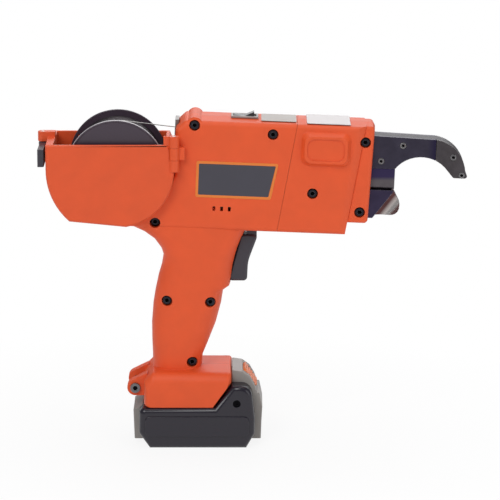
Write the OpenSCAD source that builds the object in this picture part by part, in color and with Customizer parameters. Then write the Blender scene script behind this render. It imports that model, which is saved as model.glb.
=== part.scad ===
// Cordless rebar tying tool: pistol body, wire spool in an open magazine at the back,
// curl arm and twister at the front, slide-on battery under the handle.
// Millimetres. Origin at the middle of the battery's flat base, +X to the jaw, +Z up.

/* [Barrel] */
// Width of the barrel across the two halves
barrel_w = 46; // [43:0.5:54]
// Height of the barrel
barrel_h = 88.8; // [86:0.2:94]
// Tilt of the barrel, front end down, in degrees
barrel_tilt = 2.25; // [0:0.25:4]
// Height of the barrel's axis above the base, over the origin
barrel_axis_z = 220.5; // [218:0.5:224]
// Barrel behind the origin
barrel_back = 19; // [17:0.5:20]
// Barrel from the origin to the middle of the nose seam
seam_u = 70.8; // [66:0.2:74]
// Lean of the nose seam and of the nose step, in degrees
seam_lean = 8.4; // [5:0.2:10]
// Wall of the moulded shells
wall = 2.5; // [2:0.1:3]
// Rounding along the edges of the barrel
barrel_edge_r = 3.5; // [2.5:0.1:4.5]

/* [Nose] */
// Length of the nose from the seam to the end of the step
nose_l = 55; // [52:0.5:60]
// Length of the narrow collar in front of the step
collar_l = 12.2; // [11:0.2:15]
// Width of the collar
collar_w = 37; // [35:0.5:40]
// Height of the collar's underside above the barrel's underside
collar_rise = 9; // [7:0.5:11]
// How far the side pad stands out
pad_out = 5; // [3:0.25:6]

/* [Handle] */
// Depth that the handle's outline is measured by
grip_d = 60; // [56:0.5:64]
// Width of the handle
grip_w = 39; // [37:0.5:42]
// Length of the foot
foot_l = 70; // [68:0.5:73]
// Width of the foot
foot_w = 66; // [62:0.5:70]
// Height of the foot
foot_h = 27.7; // [26:0.1:30]
// Rounding along the foot's top edges
foot_edge_r = 8; // [6:0.25:9]

/* [Magazine] */
// Spool axis behind the origin
spool_back = 64; // [63:0.25:66]
// Height of the spool axis above the base
spool_z = 226; // [225:0.25:228]
// Radius of the spool's flanges
spool_r = 39; // [37:0.25:40]
// Width of the spool over its flanges
spool_w = 50; // [46:0.5:52]
// Thickness of a spool flange
flange_t = 2; // [1.5:0.1:3]
// Radius of the wound wire
wound_r = 34; // [31:0.25:35]
// Clearance between the spool and the magazine's walls
spool_gap = 4; // [3:0.25:5]
// Wall of the magazine
mag_wall = 3; // [2.5:0.1:3.5]
// Radius of the magazine's back, about the spool axis
mag_back_r = 55; // [53:0.25:58]
// Radius of the spool axle
axle_r = 6; // [5:0.25:7]
// Radius of the door's hinge knuckles
knuckle_r = 4.1; // [3.8:0.1:4.6]
// Radius of the door's hinge pin
hinge_pin_r = 1.5; // [1.2:0.1:2]

/* [Jaw] */
// Width of the curl arm over its plates
arm_w = 20; // [18:0.5:23]
// Thickness of an arm plate
plate_t = 4; // [3:0.25:5]
// Height of the arm at its root
arm_h = 26.4; // [25:0.2:27.5]
// Reach of the arm in front of the collar
arm_reach = 76.6; // [74:0.2:82]
// Diameter of the tie wire
wire_d = 0.8; // [0.6:0.05:1]
// Radius of the twister spindle
spindle_r = 5; // [4.5:0.25:5.5]
// Length of the twister block in front of the collar
block_reach = 18.4; // [16:0.2:20]
// Height of the twister block
block_h = 17; // [16:0.25:18]
// Width of the twister block
block_w = 17; // [16:0.25:19]

/* [Drive] */
// Radius of the twister motor
twist_motor_r = 17.9; // [16.5:0.1:18.2]
// Length of the twister motor's can
twist_motor_l = 57; // [52:0.5:60]
// Radius of the feed motor
feed_motor_r = 8.5; // [8:0.25:9]
// Length of the feed motor's can
feed_motor_l = 16; // [14:0.5:16.5]
// Module of the feed gears
gear_module = 1; // [0.9:0.05:1.05]

/* [Controls] */
// Width of the trigger
trigger_w = 16; // [14:0.5:18]
// Height of the trigger
trigger_h = 38; // [35:0.5:40]
// Length of the power switch's bezel
switch_l = 21.4; // [20:0.2:23]
// Width of the power switch's bezel
switch_w = 15; // [13:0.5:17]

/* [Battery] */
// Width of the battery
battery_w = 71; // [67:0.5:75]
// Height of the battery's deck, which the foot stands on
battery_h = 33.3; // [31:0.1:36]
// Battery in front of the origin
battery_front = 51.5; // [49:0.5:54]
// Battery behind the origin
battery_back = 52; // [50:0.5:54]
// Diameter of a battery cell
cell_d = 18.4; // [17:0.1:19]
// Length of a battery cell
cell_l = 65.2; // [62:0.2:66]

/* [Fasteners] */
// Radius of the housing screws' shanks
screw_r = 2; // [1.5:0.1:2.3]
// Radius of the housing screws' heads
screw_head_r = 3.5; // [3:0.1:3.7]
// Height of the housing screws' heads
screw_head_h = 4; // [3:0.1:4.5]

/* [Hidden] */
$fn = 48;

// Clearances shared by all fits
over = 1;
fit = 0.05;
slide_gap = 0.3;
seam_gap = 0.2;

// Steps of a rounded edge and of a rounded corner
edge_steps = 4;
corner_steps = 5;

spool_x = -spool_back;
half_h = barrel_h / 2;
barrel_half = barrel_w / 2;
collar_half = collar_w / 2;
grip_half = grip_w / 2;
foot_half = foot_w / 2;
lean = tan(seam_lean);
step_u = seam_u + nose_l;
front_u = step_u + collar_l;
draft = 0.8;

mag_front_r = spool_r + spool_gap + mag_wall;
mag_half = spool_w / 2 + spool_gap + mag_wall;
cut_r = mag_front_r + slide_gap;

function unit(v) = v / norm(v);
function left_of(v) = [-v[1], v[0]];
function flat(p) = [p[0], p[1]];

// Points of an arc of n steps
function arc(c, r, a, b, n) = [for (i = [0:n]) c + r * [cos(a + (b - a) * i / n), sin(a + (b - a) * i / n)]];

// One corner c, between p and q, rounded by r
function rounded_corner(p, c, q, r) =
    let (u = unit(p - c), v = unit(q - c), half = acos(max(-1, min(1, u * v))) / 2)
    let (m = c + unit(u + v) * r / sin(half), s = c + u * r / tan(half), e = c + v * r / tan(half))
    let (a = atan2(s[1] - m[1], s[0] - m[0]), b = atan2(e[1] - m[1], e[0] - m[0]))
    let (turn = b - a > 180 ? b - a - 360 : b - a < -180 ? b - a + 360 : b - a)
    arc(m, r, a, a + turn, corner_steps);

// A closed outline whose corners are [x, y, radius]
function outline(corners) = let (k = len(corners)) [
    for (i = [0:k - 1]) let (c = corners[i])
        each c[2] == 0 ? [flat(c)]
            : rounded_corner(flat(corners[(i + k - 1) % k]), flat(c), flat(corners[(i + 1) % k]), c[2])
];

// A closed counterclockwise outline drawn in by d
function drawn_in(pts, d) = let (k = len(pts)) [
    for (i = [0:k - 1])
        let (a = left_of(unit(pts[i] - pts[(i + k - 1) % k])), b = left_of(unit(pts[(i + 1) % k] - pts[i])))
        pts[i] + d * (a + b) / (1 + a * b)
];

// An outline stood upright at depth y
function upright(pts, y) = [for (p = pts) [p[0], y, p[1]]];

// A solid through rings that run counterclockwise seen from outside the first one; fanned ends are
// triangles about each ring's first corner, for an outline that turns in somewhere
module loft(rings, fanned = false) {
    n = len(rings[0]);
    m = len(rings);
    last = (m - 1) * n;
    polyhedron(
        points = [for (r = rings) each r],
        faces = concat(
            fanned ? [for (i = [1:n - 2]) [0, i + 1, i]] : [[for (i = [n - 1:-1:0]) i]],
            [for (j = [0:m - 2]) for (i = [0:n - 1])
                each let (a = j * n + i, b = j * n + (i + 1) % n) [[a, b, b + n], [a, b + n, a + n]]],
            fanned ? [for (i = [1:n - 2]) [last, last + i, last + i + 1]] : [[for (i = [0:n - 1]) last + i]]
        ));
}

// Half of a moulded slab: an upright outline from the middle out to half, with a rounded outer edge
module slab(pts, half, r) {
    loft([
        for (k = [0:edge_steps]) let (a = 90 * k / edge_steps)
            upright(drawn_in(pts, draft + r * (1 - sin(a))), -half + r * (1 - cos(a))),
        upright(pts, over)
    ], fanned = true);
}

// An upright plate from depth y0 to y1
module plate(pts, y0, y1) {
    translate([0, y1, 0]) rotate([90, 0, 0]) linear_extrude(y1 - y0) polygon(pts);
}

// A round bar along Y
module bar(x, z, r, y0, y1) {
    translate([x, y0, z]) rotate([-90, 0, 0]) cylinder(r = r, h = y1 - y0);
}

// A round bar along X
module rod(r, x0, x1, z = 0, y = 0) {
    translate([x0, y, z]) rotate([0, 90, 0]) cylinder(r = r, h = x1 - x0);
}

// A box between two corners
module box(low, high) {
    translate(low) cube(high - low);
}

// The frame of the barrel, tilted about the point over the origin
module along_barrel() {
    translate([0, 0, barrel_axis_z]) rotate([0, barrel_tilt, 0]) children();
}

// Barrel frame to the part's frame, for a point in the upright plane
function from_barrel(u, w) = [
    u * cos(barrel_tilt) + w * sin(barrel_tilt),
    barrel_axis_z - u * sin(barrel_tilt) + w * cos(barrel_tilt)
];

// Left or right half of what is drawn on the near side
module half_of(side) {
    if (side < 0) children();
    else mirror([0, 1, 0]) children();
}

// Barrel: corners of the side outline in the barrel's frame
rear_chamfer = 8;
tail_back = 57;
tail_h = 8;
barrel_corner_r = 5.5;
function seam_at(w) = seam_u + w * lean;
function step_at(w) = step_u + w * lean;
barrel_pts = outline([
    [step_at(-half_h), -half_h, 0],
    [step_at(half_h), half_h, 0],
    [rear_chamfer - barrel_back, half_h, barrel_corner_r],
    [-barrel_back, half_h - rear_chamfer, barrel_corner_r],
    [-barrel_back, 0, 0],
    [-tail_back, tail_h - half_h, 0],
    [-tail_back, -half_h, 0]
]);

// Collar: the narrower front of the nose
collar_lean = 1.8;
collar_edge_r = 2.5;
collar_corner_r = 4;
function front_at(w) = front_u + w * tan(collar_lean);
collar_floor = collar_rise - half_h;
collar_pts = outline([
    [step_at(collar_floor) - wall, collar_floor, 0],
    [front_at(collar_floor), collar_floor, collar_corner_r],
    [front_at(half_h), half_h, collar_corner_r],
    [step_at(half_h) - wall, half_h, 0]
]);

// Cavities are the outlines drawn in by the wall and the moulding draft
inner_in = wall + draft;
barrel_inner_half = barrel_half - wall;
collar_inner_half = collar_half - wall;

// Handle: share of its height, back, front and width, and how square the section is
grip_z = battery_h + foot_h - foot_edge_r;
grip_lap = 8;
grip_top = barrel_axis_z - half_h + grip_lap;
grip_shares = [
    [0, -0.61, 0.03, 0.97, 2.6], [0.13, -0.61, 0.06, 0.98, 2.6], [0.21, -0.617, 0.133, 1, 2.6],
    [0.33, -0.62, 0.235, 1, 2.6], [0.455, -0.598, 0.307, 0.99, 2.6], [0.54, -0.568, 0.337, 0.99, 2.8],
    [0.57, -0.553, 0.425, 0.99, 3], [0.63, -0.525, 0.455, 0.99, 3], [0.7, -0.48, 0.475, 1, 3],
    [0.76, -0.458, 0.5, 1.02, 3.2], [0.81, -0.49, 0.53, 1.045, 3.6], [0.87, -0.58, 0.58, 1.08, 4.2],
    [0.92, -0.72, 0.63, 1.11, 5], [0.965, -0.92, 0.69, 1.13, 6], [1, -1.04, 0.8, 1.14, 6]
];
section_steps = 12;
function curve(c, n) = sign(c) * pow(abs(c), 2 / n);
function grip_ring(row, t) =
    let (x0 = row[1] * grip_d + t, x1 = row[2] * grip_d - t, h = row[3] * grip_half - t)
    let (z = grip_z + row[0] * (grip_top - grip_z), m = (x0 + x1) / 2, d = (x1 - x0) / 2)
    concat(
        [for (i = [0:section_steps]) let (a = 180 + 180 * i / section_steps)
            [m + d * curve(cos(a), row[4]), h * curve(sin(a), row[4]), z]],
        [[x1, over, z], [x0, over, z]]);
grip_rows = len(grip_shares);
module grip(t) {
    loft([for (i = [grip_rows - 1:-1:0]) grip_ring(grip_shares[i], t)]);
}

// Foot: upright outline, its top dropped and its ends pulled in towards the sides
foot_back = 43.2;
foot_front = foot_l - foot_back;
foot_rear_chamfer = 7;
foot_slant_x = 15;
foot_slant_z = 19;
foot_corner_r = 2.5;
foot_pull_share = 0.4;
function slant_top(d, t) = min(foot_slant_z, foot_h - t - d - foot_corner_r - over);
function foot_ring(d, t) = outline([
    [-foot_back + t + d * foot_pull_share, battery_h + t, foot_corner_r],
    [foot_front - foot_slant_x - t, battery_h + t, 0],
    [foot_front - t - d * foot_pull_share, battery_h + slant_top(d, t), foot_corner_r],
    [foot_front - t - d * foot_pull_share, battery_h + foot_h - t - d, foot_corner_r],
    [-foot_back + foot_rear_chamfer + t, battery_h + foot_h - t - d, foot_corner_r],
    [-foot_back + t + d * foot_pull_share, battery_h + foot_h - foot_rear_chamfer - t - d, foot_corner_r]
]);
module foot(t) {
    r = foot_edge_r;
    loft([
        for (k = [0:edge_steps]) let (a = 90 * k / edge_steps)
            upright(foot_ring(r * (1 - sin(a)), t), t - foot_half + r * (1 - cos(a))),
        upright(foot_ring(0, t), over)
    ], fanned = true);
}

// Half width of the handle's side at a place on it
function row_at(t) = [for (k = [1:4]) lookup(t, [for (row = grip_shares) [row[0], row[k]]])];
function side_at(p) =
    let (row = row_at((p[1] - grip_z) / (grip_top - grip_z)))
    let (m = (row[0] + row[1]) / 2, d = (row[1] - row[0]) / 2)
    row[2] * grip_half * pow(1 - pow(abs(p[0] / grip_d - m) / d, row[3]), 1 / row[3]);

// Screw places: in the barrel by shares of seam_u and half_h, in the handle by shares of grip_d and height
barrel_screw_shares = [[-0.049, 0.9], [0.825, 0.79]];
grip_screw_shares = [[-0.56, 0.985], [-0.41, 0.49], [0.165, 0.48], [-0.08, 0.105]];
barrel_screws = [for (s = barrel_screw_shares) from_barrel(s[0] * seam_u, s[1] * half_h)];
grip_screws = [for (s = grip_screw_shares) [s[0] * grip_d, grip_z + s[1] * (grip_top - grip_z)]];
collar_screw_shares = [[0.47, 0.69], [0.3, -0.58]];
collar_screws = [for (s = collar_screw_shares) from_barrel(step_u + s[0] * collar_l, s[1] * half_h)];
nose_screw_shares = [0.376, -0.25];
nose_screw = from_barrel(seam_u + nose_screw_shares[0] * nose_l, nose_screw_shares[1] * half_h);

// Screws: boss round each one, seat of the head below the side face, length past the middle
boss_wall = 1.6;
boss_r = screw_head_r + boss_wall;
head_play = 0.8;
counterbore_r = screw_head_r + head_play;
head_sink = 1.2;
screw_grip = 13;
barrel_seat = barrel_half - head_sink - screw_head_h;
grip_sink = 2;
function grip_seat(p) = min(grip_half, side_at(p)) - grip_sink - screw_head_h;
collar_seat = collar_half - head_sink - screw_head_h;
rear_boss_r = 6.5;
hex_share = 0.9;

module boss(p, half) {
    bar(p[0], p[1], boss_r, -half, over);
}

// Near half: counterbore and clear hole. Far half: blind hole for the thread.
module screw_hole(p, seat, near) {
    if (near) {
        bar(p[0], p[1], counterbore_r, -barrel_w, -seat);
        bar(p[0], p[1], screw_r + fit, -seat - over, 2 * over);
    } else bar(p[0], p[1], screw_r + fit, -screw_grip - over, 2 * over);
}

module cap_screw(p, seat) {
    difference() {
        union() {
            bar(p[0], p[1], screw_r, -seat - over, screw_grip);
            bar(p[0], p[1], screw_head_r, -seat - screw_head_h, -seat);
        }
        translate([p[0], -seat - screw_head_h / 2, p[1]]) rotate([90, 0, 0])
            cylinder(r = screw_r * hex_share, h = screw_head_h, $fn = 6);
    }
}

// What lies along the barrel, in its frame
motor_u = -1;
gearbox_u = motor_u + twist_motor_l;
gearbox_l = 22;
gearbox_lip = 1.1;
gearbox_r = twist_motor_r + gearbox_lip;
bearing_r = 11;
bearing_l = 7;
bearing_in = 9.5;
bearing_u = step_u - bearing_in;
rib_t = 3;
rib_y = -barrel_half + wall / 2;
rib_h = 24;
seat_gap = 0.1;
board_t = 1.6;
board_w = -26;
board_u = 6;
board_l = 54;

// Wire line: from the inlet at the back to the arm, falling slightly
inlet_w = 34;
wire_w = 21;
wire_fall = (inlet_w - wire_w) / (front_u + barrel_back);
function wire_at(u) = inlet_w - (u + barrel_back) * wire_fall;

// Feed train: gear teeth and places in the barrel's frame
wheel_teeth = 16;
idler_teeth = 10;
pinion_teeth = 10;
wheel_r = gear_module * wheel_teeth / 2;
idler_r = gear_module * idler_teeth / 2;
pinion_r = gear_module * pinion_teeth / 2;
feed_share = 0.6;
feed_u = seam_u + nose_l * feed_share;
feed_w = wire_at(feed_u) - wheel_r;
idler_w = wire_at(feed_u) + idler_r;
pinion_dir = 160;
pinion_u = feed_u + (wheel_r + pinion_r) * cos(pinion_dir);
pinion_w = feed_w + (wheel_r + pinion_r) * sin(pinion_dir);
feed_axle_r = 1.6;
axle_boss_r = 3.2;
axle_boss_in = 10;

// Trigger: pivot, rest outline and the pocket it works in
trigger_over_foot = 70.5;
trigger_z = battery_h + foot_h + trigger_over_foot;
trigger_pivot_x = 43;
trigger_pivot_drop = 36.5;
trigger_pivot = [trigger_pivot_x, barrel_axis_z - trigger_pivot_drop];
trigger_pin_r = 2;
switch_x = 4;
pocket_back = 18;
pocket_front = 50.2;
pocket_gap = 0.6;

// Lanyard bracket at the back of the foot
ear_r = 6.5;
ear_t = 9;
ear_gap = 20;
ear_rise = 12;
ear_lean = 30;
ear_stand = 0.6;
lanyard_r = 2.2;
lanyard_at = [-foot_back - ear_r - ear_stand, battery_h + ear_r * 2];
module ear() {
    y0 = -ear_gap / 2 - ear_t;
    y1 = -ear_gap / 2;
    bar(lanyard_at[0], lanyard_at[1], ear_r, y0, y1);
    plate([
        lanyard_at + [0, -ear_r], [-foot_back + wall, lanyard_at[1] - ear_r],
        [-foot_back + wall, lanyard_at[1] + ear_rise], lanyard_at + ear_r * [-sin(ear_lean), cos(ear_lean)]
    ], y0, y1);
}

// Battery rail: a T-shaped tongue that runs in a slot in the foot's floor
rail_neck = 24;
rail_w = 32;
rail_t = 3;

// Door hinge at the back of the barrel
hinge_in = 1;
hinge_sink = 2;
hinge_drop = 1;
hinge_x = -barrel_back + hinge_in;
hinge_y = -mag_half + hinge_sink;
hinge_z = spool_z - hinge_drop;
hinge_h = 28.5;
mag_rise = 20.4;
mag_top = spool_z + mag_rise;
door_t = 3;

module housing_half(near) {
    half_of(near ? -1 : 1) difference() {
        union() {
            along_barrel() slab(barrel_pts, barrel_half, barrel_edge_r);
            grip(0);
            foot(0);
            ear();
            bar(barrel_screws[0][0], barrel_screws[0][1], rear_boss_r, -barrel_half + head_sink, over);
            if (near) hinge_lug();
        }
        difference() {
            union() {
                along_barrel() plate(drawn_in(barrel_pts, inner_in), -barrel_inner_half, 2 * over);
                grip(wall);
                foot(wall);
            }
            bar(spool_x, spool_z, cut_r + wall, rib_y, 3 * over);
            for (p = barrel_screws) boss(p, barrel_half - wall / 2);
            for (p = grip_screws) boss(p, grip_half - wall / 2);
            bar(trigger_pivot[0], trigger_pivot[1], boss_r, -barrel_inner_half - over,
                -trigger_w / 2 - pocket_gap);
            along_barrel() {
                for (u = [motor_u + 3 * rib_t, gearbox_u - 4 * rib_t])
                    motor_rib(u, twist_motor_r);
                motor_rib(gearbox_u + rib_t, gearbox_r);
                for (u = [board_u + 2 * rib_t, board_u + board_l - 3 * rib_t])
                    box([u, rib_y, -half_h], [u + rib_t, 3 * over, board_w - seat_gap]);
            }
            box([-grip_d, -grip_half, trigger_z + trigger_h / 2], [switch_x - seat_gap, 3 * over,
                trigger_z + trigger_h / 2 + rib_t]);
        }
        bar(spool_x, spool_z, cut_r, -barrel_half - over, 3 * over);
        along_barrel() plate([[seam_at(-barrel_h), -barrel_h], [barrel_h + seam_at(0), -barrel_h],
            [barrel_h + seam_at(0), barrel_h], [seam_at(barrel_h), barrel_h]], -barrel_w, 3 * over);
        for (p = barrel_screws) screw_hole(p, barrel_seat, near);
        for (p = grip_screws) screw_hole(p, grip_seat(p), near);
        bar(trigger_pivot[0], trigger_pivot[1], trigger_pin_r + fit, -barrel_inner_half, 2 * over);
        bar(lanyard_at[0], lanyard_at[1], lanyard_r + fit, -ear_gap - ear_t, 2 * over);
        if (near) hinge_bore(hinge_pin_r + fit);
        trigger_pocket();
        rail_slot();
        along_barrel() {
            switch_hole();
            inlet_slot();
            if (near) for (i = [0:2]) vent_slot(i);
        }
        box([-barrel_h, 0, -over], [2 * barrel_h, barrel_h, 2 * barrel_axis_z]);
    }
}

module motor_rib(u, r) {
    difference() {
        box([u, rib_y, -rib_h], [u + rib_t, 3 * over, rib_h]);
        rod(r + seat_gap, u - over, u + rib_t + over);
    }
}
module trigger_pocket() {
    y = trigger_w / 2 + pocket_gap;
    z0 = trigger_z - pocket_gap;
    z1 = barrel_axis_z - half_h - wall;
    plate([[pocket_back, z0], [grip_d, z0], [grip_d, z1], [pocket_front, z1],
        [pocket_front, z1 + 6 * wall], [pocket_back, z1 + 6 * wall]], -y, 3 * over);
}
rail_back = foot_back - 3 * wall;
rail_front = foot_front - foot_slant_x - over;
flange_z = battery_h + wall + slide_gap;
socket_h = 7;
socket_half = 14;
module rail_slot() {
    y = rail_neck / 2 + slide_gap;
    x = rail_front - wall;
    box([-rail_back - slide_gap, -y, battery_h - over], [foot_l, 3 * over, flange_z + over]);
    box([x, -rail_w / 2 - slide_gap, flange_z - slide_gap],
        [foot_l, 3 * over, flange_z + rail_t + slide_gap]);
    box([x, -socket_half - slide_gap, flange_z],
        [foot_l, 3 * over, flange_z + rail_t + socket_h + slide_gap]);
}

switch_u = 25;
switch_rim = 1.5;
module switch_hole() {
    box([switch_u + switch_rim, -switch_w / 2 + switch_rim, half_h - 3 * wall],
        [switch_u + switch_l - switch_rim, 3 * over, half_h + over]);
}

inlet_half = 9;
inlet_h = 14;
inlet_t = 3;
tube_r = 1.8;
module inlet_slot() {
    box([-barrel_back - over, -inlet_half - slide_gap, inlet_w - inlet_h / 2 - slide_gap],
        [-barrel_back + inlet_t + slide_gap, 3 * over, half_h - wall]);
    rod(tube_r + seat_gap, -barrel_back, 0, inlet_w);
}

vent_pitch = 6.1;
vent_l = 3.6;
vent_w = 2.2;
vent_u = 13;
vent_z = -28;
module vent_slot(i) {
    u = vent_u + i * vent_pitch;
    box([u, -barrel_half - over, vent_z], [u + vent_w, -barrel_inner_half + over, vent_z + vent_l]);
}

module hinge_lug() {
    z0 = hinge_z + hinge_h / 3;
    z1 = hinge_z + 2 * hinge_h / 3;
    translate([hinge_x, hinge_y, z0]) cylinder(r = knuckle_r, h = z1 - z0);
    box([hinge_x - knuckle_r / 2, hinge_y, z0], [hinge_x + 2 * knuckle_r, -barrel_half + wall, z1]);
}

module hinge_bore(r) {
    translate([hinge_x, hinge_y, hinge_z - over]) cylinder(r = r, h = hinge_h + 2 * over);
}

// Nose: step band down to the collar, side pad with a sunk panel, one opening for the jaw
band_l = 6.5;
pad_u_shares = [0.17, 0.91];
pad_w_shares = [0.24, 0.88];
pad_slope = 3.5;
pad_corner_r = 6;
pad_panel_in = 5.5;
pad_panel_deep = 1;
jaw_gap = 0.2;
arm_half = arm_w / 2;
arm_w0 = block_h / 2 + jaw_gap;
arm_w1 = arm_w0 + arm_h;
guide_h = 23;
guide_w0 = -block_h / 2 - jaw_gap - guide_h;
root_in = 2;
root_u = step_u - root_in;

function pad_pts(d) = outline([
    [seam_u + pad_u_shares[0] * nose_l + d, pad_w_shares[0] * half_h + d, pad_corner_r],
    [seam_u + pad_u_shares[1] * nose_l - d, pad_w_shares[0] * half_h + d, pad_corner_r],
    [seam_u + pad_u_shares[1] * nose_l - d, pad_w_shares[1] * half_h - d, pad_corner_r],
    [seam_u + pad_u_shares[0] * nose_l + d, pad_w_shares[1] * half_h - d, pad_corner_r]
]);
module pad() {
    top = -barrel_half - pad_out;
    difference() {
        loft([upright(pad_pts(pad_slope), top), upright(pad_pts(0), -barrel_half + wall / 2)]);
        plate(pad_pts(pad_panel_in), top - over, top + pad_panel_deep);
    }
}

module nose_half(near) {
    half_of(near ? -1 : 1) difference() {
        along_barrel() {
            slab(barrel_pts, barrel_half, barrel_edge_r);
            slab(collar_pts, collar_half, collar_edge_r);
            if (near) pad();
        }
        difference() {
            along_barrel() {
                plate(drawn_in(barrel_pts, inner_in), -barrel_inner_half, 2 * over);
                plate(drawn_in(collar_pts, inner_in), -collar_inner_half, 2 * over);
            }
            boss(nose_screw, barrel_half - wall / 2);
            for (p = collar_screws) boss(p, collar_half - wall / 2);
            along_barrel() {
                box([bearing_u, rib_y, -bearing_r - wall],
                    [bearing_u + bearing_l, 3 * over, bearing_r + wall]);
                for (w = [feed_w, idler_w]) bar(feed_u, w, axle_boss_r, rib_y, -axle_boss_in);
            }
        }
        along_barrel() {
            plate([[-barrel_h, -barrel_h], [seam_at(-barrel_h) + seam_gap, -barrel_h],
                [seam_at(barrel_h) + seam_gap, barrel_h], [-barrel_h, barrel_h]], -barrel_w, 3 * over);
            for (w = [feed_w, idler_w])
                bar(feed_u, w, feed_axle_r + fit, -barrel_inner_half, 3 * over);
            rod(bearing_r + seat_gap, bearing_u - over, root_u);
            box([root_u - slide_gap, -arm_half - seat_gap, guide_w0 - seat_gap],
                [front_u + collar_l, 3 * over, arm_w1 + seat_gap]);
            translate([step_u, 0, 0]) rotate([0, seam_lean, 0]) linear_extrude(2 * barrel_h, center = true)
                polygon([[-band_l, -barrel_w], [band_l, -barrel_w], [band_l, -collar_half - fit],
                    [0, -collar_half - fit], [-band_l, -barrel_half]]);
        }
        screw_hole(nose_screw, barrel_seat, near);
        for (p = collar_screws) screw_hole(p, collar_seat, near);
        box([-barrel_h, 0, -over], [3 * barrel_h, barrel_h, 2 * barrel_axis_z]);
    }
}

orange = [0.86, 0.33, 0.16];
dark = [0.2, 0.19, 0.21];
steel = [0.7, 0.69, 0.67];
blued = [0.22, 0.21, 0.25];
grey = [0.55, 0.54, 0.53];

module housing_left() color(orange) housing_half(true);
module housing_right() color(orange) housing_half(false);
module nose_left() color(orange) nose_half(true);
module nose_right() color(orange) nose_half(false);
module housing_screws() color(dark) {
    for (p = barrel_screws) cap_screw(p, barrel_seat);
    for (p = grip_screws) cap_screw(p, grip_seat(p));
    cap_screw(nose_screw, barrel_seat);
    for (p = collar_screws) cap_screw(p, collar_seat);
}

// Magazine: an open-topped bucket about the spool axis
mag_back_wall = 6;
mag_back_a = 180;
mag_low_a = 228;
mag_front_a = 280;
mag_end_a = 386;
mag_steps = 14;
spool_at = [spool_x, spool_z];
function mag_pts(d, top) = concat(
    arc(spool_at, mag_back_r - (d > 0 ? mag_back_wall : 0), mag_back_a, mag_low_a, mag_steps),
    arc(spool_at, mag_front_r - d, mag_front_a, mag_end_a, mag_steps),
    [[spool_x + (mag_front_r - d) * cos(mag_end_a), top],
        [spool_x + (mag_back_r - (d > 0 ? mag_back_wall : 0)) * cos(mag_back_a), top]]);
function ends_clear(pts) =
    [for (i = [0:len(pts) - 1]) if (norm(pts[i] - pts[(i + 1) % len(pts)]) > fit) pts[i]];

// Latch: lug on the back wall, lever along it towards the door
latch_stand = 4;
latch_drop = 11;
latch_rise = 4.5;
latch_x = spool_x - mag_back_r - latch_stand;
latch_z = mag_top - latch_drop;
latch_lug_h = 8;
latch_lever_h = 14;
latch_lever_t = 5;
latch_y = 6;
latch_pin_r = 1.5;
latch_lug_r = 4;
latch_eye = 1;
latch_rim = 1;
latch_lug_z = mag_top + latch_rise - latch_lug_h;

module magazine_tray() color(orange) {
    difference() {
        union() {
            plate(ends_clear(mag_pts(0, mag_top)), -mag_half + door_t + slide_gap, mag_half);
            latch_lug();
        }
        plate(ends_clear(mag_pts(mag_wall, mag_top + spool_r)), -mag_half - over, mag_half - mag_wall);
        translate([latch_x, latch_y, latch_z - spool_r]) cylinder(r = latch_pin_r + fit, h = 2 * spool_r);
        axle_seat();
        hinge_room();
    }
}
// Room for the hinge: round the knuckles and along the body's lug
module hinge_room() {
    translate([hinge_x, hinge_y, hinge_z - slide_gap])
        cylinder(r = knuckle_r + slide_gap, h = hinge_h + spool_r);
    box([hinge_x - knuckle_r / 2 - slide_gap, -mag_half, hinge_z + hinge_h / 3 - slide_gap],
        [hinge_x + 2 * knuckle_r, -barrel_half + wall + slide_gap, hinge_z + 2 * hinge_h / 3 + slide_gap]);
}
module latch_lug() {
    translate([latch_x, latch_y, latch_lug_z]) cylinder(r = latch_lug_r, h = latch_lug_h);
    box([latch_x, latch_y - latch_lug_r, latch_lug_z],
        [latch_x + latch_lug_r + mag_back_wall, latch_y + latch_lug_r, latch_lug_z + latch_lug_h]);
}
module axle_seat() {
    bar(spool_x, spool_z, axle_r + fit, mag_half - mag_wall - over, mag_half + over);
}

door_edge_r = 1.2;
function door_pts(d) = drawn_in(ends_clear(mag_pts(0, mag_top)), d);
module magazine_door() color(orange) {
    y0 = -mag_half;
    y1 = -mag_half + door_t;
    difference() {
        union() {
            loft([upright(door_pts(door_edge_r), y0), upright(door_pts(0), y0 + door_edge_r),
                upright(door_pts(0), y1)]);
            for (i = [0, 2]) knuckle(i);
        }
        hinge_bore(hinge_pin_r + fit);
        translate([hinge_x, hinge_y, hinge_z + hinge_h / 3 - seat_gap])
            cylinder(r = knuckle_r + slide_gap, h = hinge_h / 3 + 2 * seat_gap);
    }
}
module knuckle(i) {
    z0 = hinge_z + i * hinge_h / 3 + slide_gap / 2;
    h = hinge_h / 3 - slide_gap;
    translate([hinge_x, hinge_y, z0]) cylinder(r = knuckle_r, h = h);
    box([hinge_x - 2 * knuckle_r, -mag_half + door_edge_r, z0], [hinge_x, -mag_half + door_t, z0 + h]);
}
module door_hinge_pin() color(steel) {
    translate([hinge_x, hinge_y, hinge_z]) cylinder(r = hinge_pin_r, h = hinge_h);
}
module latch_lever() color(dark) {
    z0 = latch_z - latch_lever_h / 2;
    r = latch_lever_t / 2 + latch_eye;
    difference() {
        union() {
            translate([latch_x, latch_y, z0]) cylinder(r = r, h = latch_lever_h);
            box([latch_x - latch_lever_t / 2, -mag_half + door_t, z0],
                [latch_x + latch_lever_t / 2, latch_y, z0 + latch_lever_h]);
        }
        translate([latch_x, latch_y, z0 - over])
            cylinder(r = latch_pin_r + fit, h = latch_lever_h + 2 * over);
    }
}
module latch_pin() color(steel) {
    z0 = latch_z - latch_lever_h / 2 - slide_gap;
    translate([latch_x, latch_y, z0]) cylinder(r = latch_pin_r, h = mag_top + latch_rise - z0);
    translate([latch_x, latch_y, z0 - latch_rim]) cylinder(r = latch_pin_r + latch_rim, h = latch_rim);
}

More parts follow.
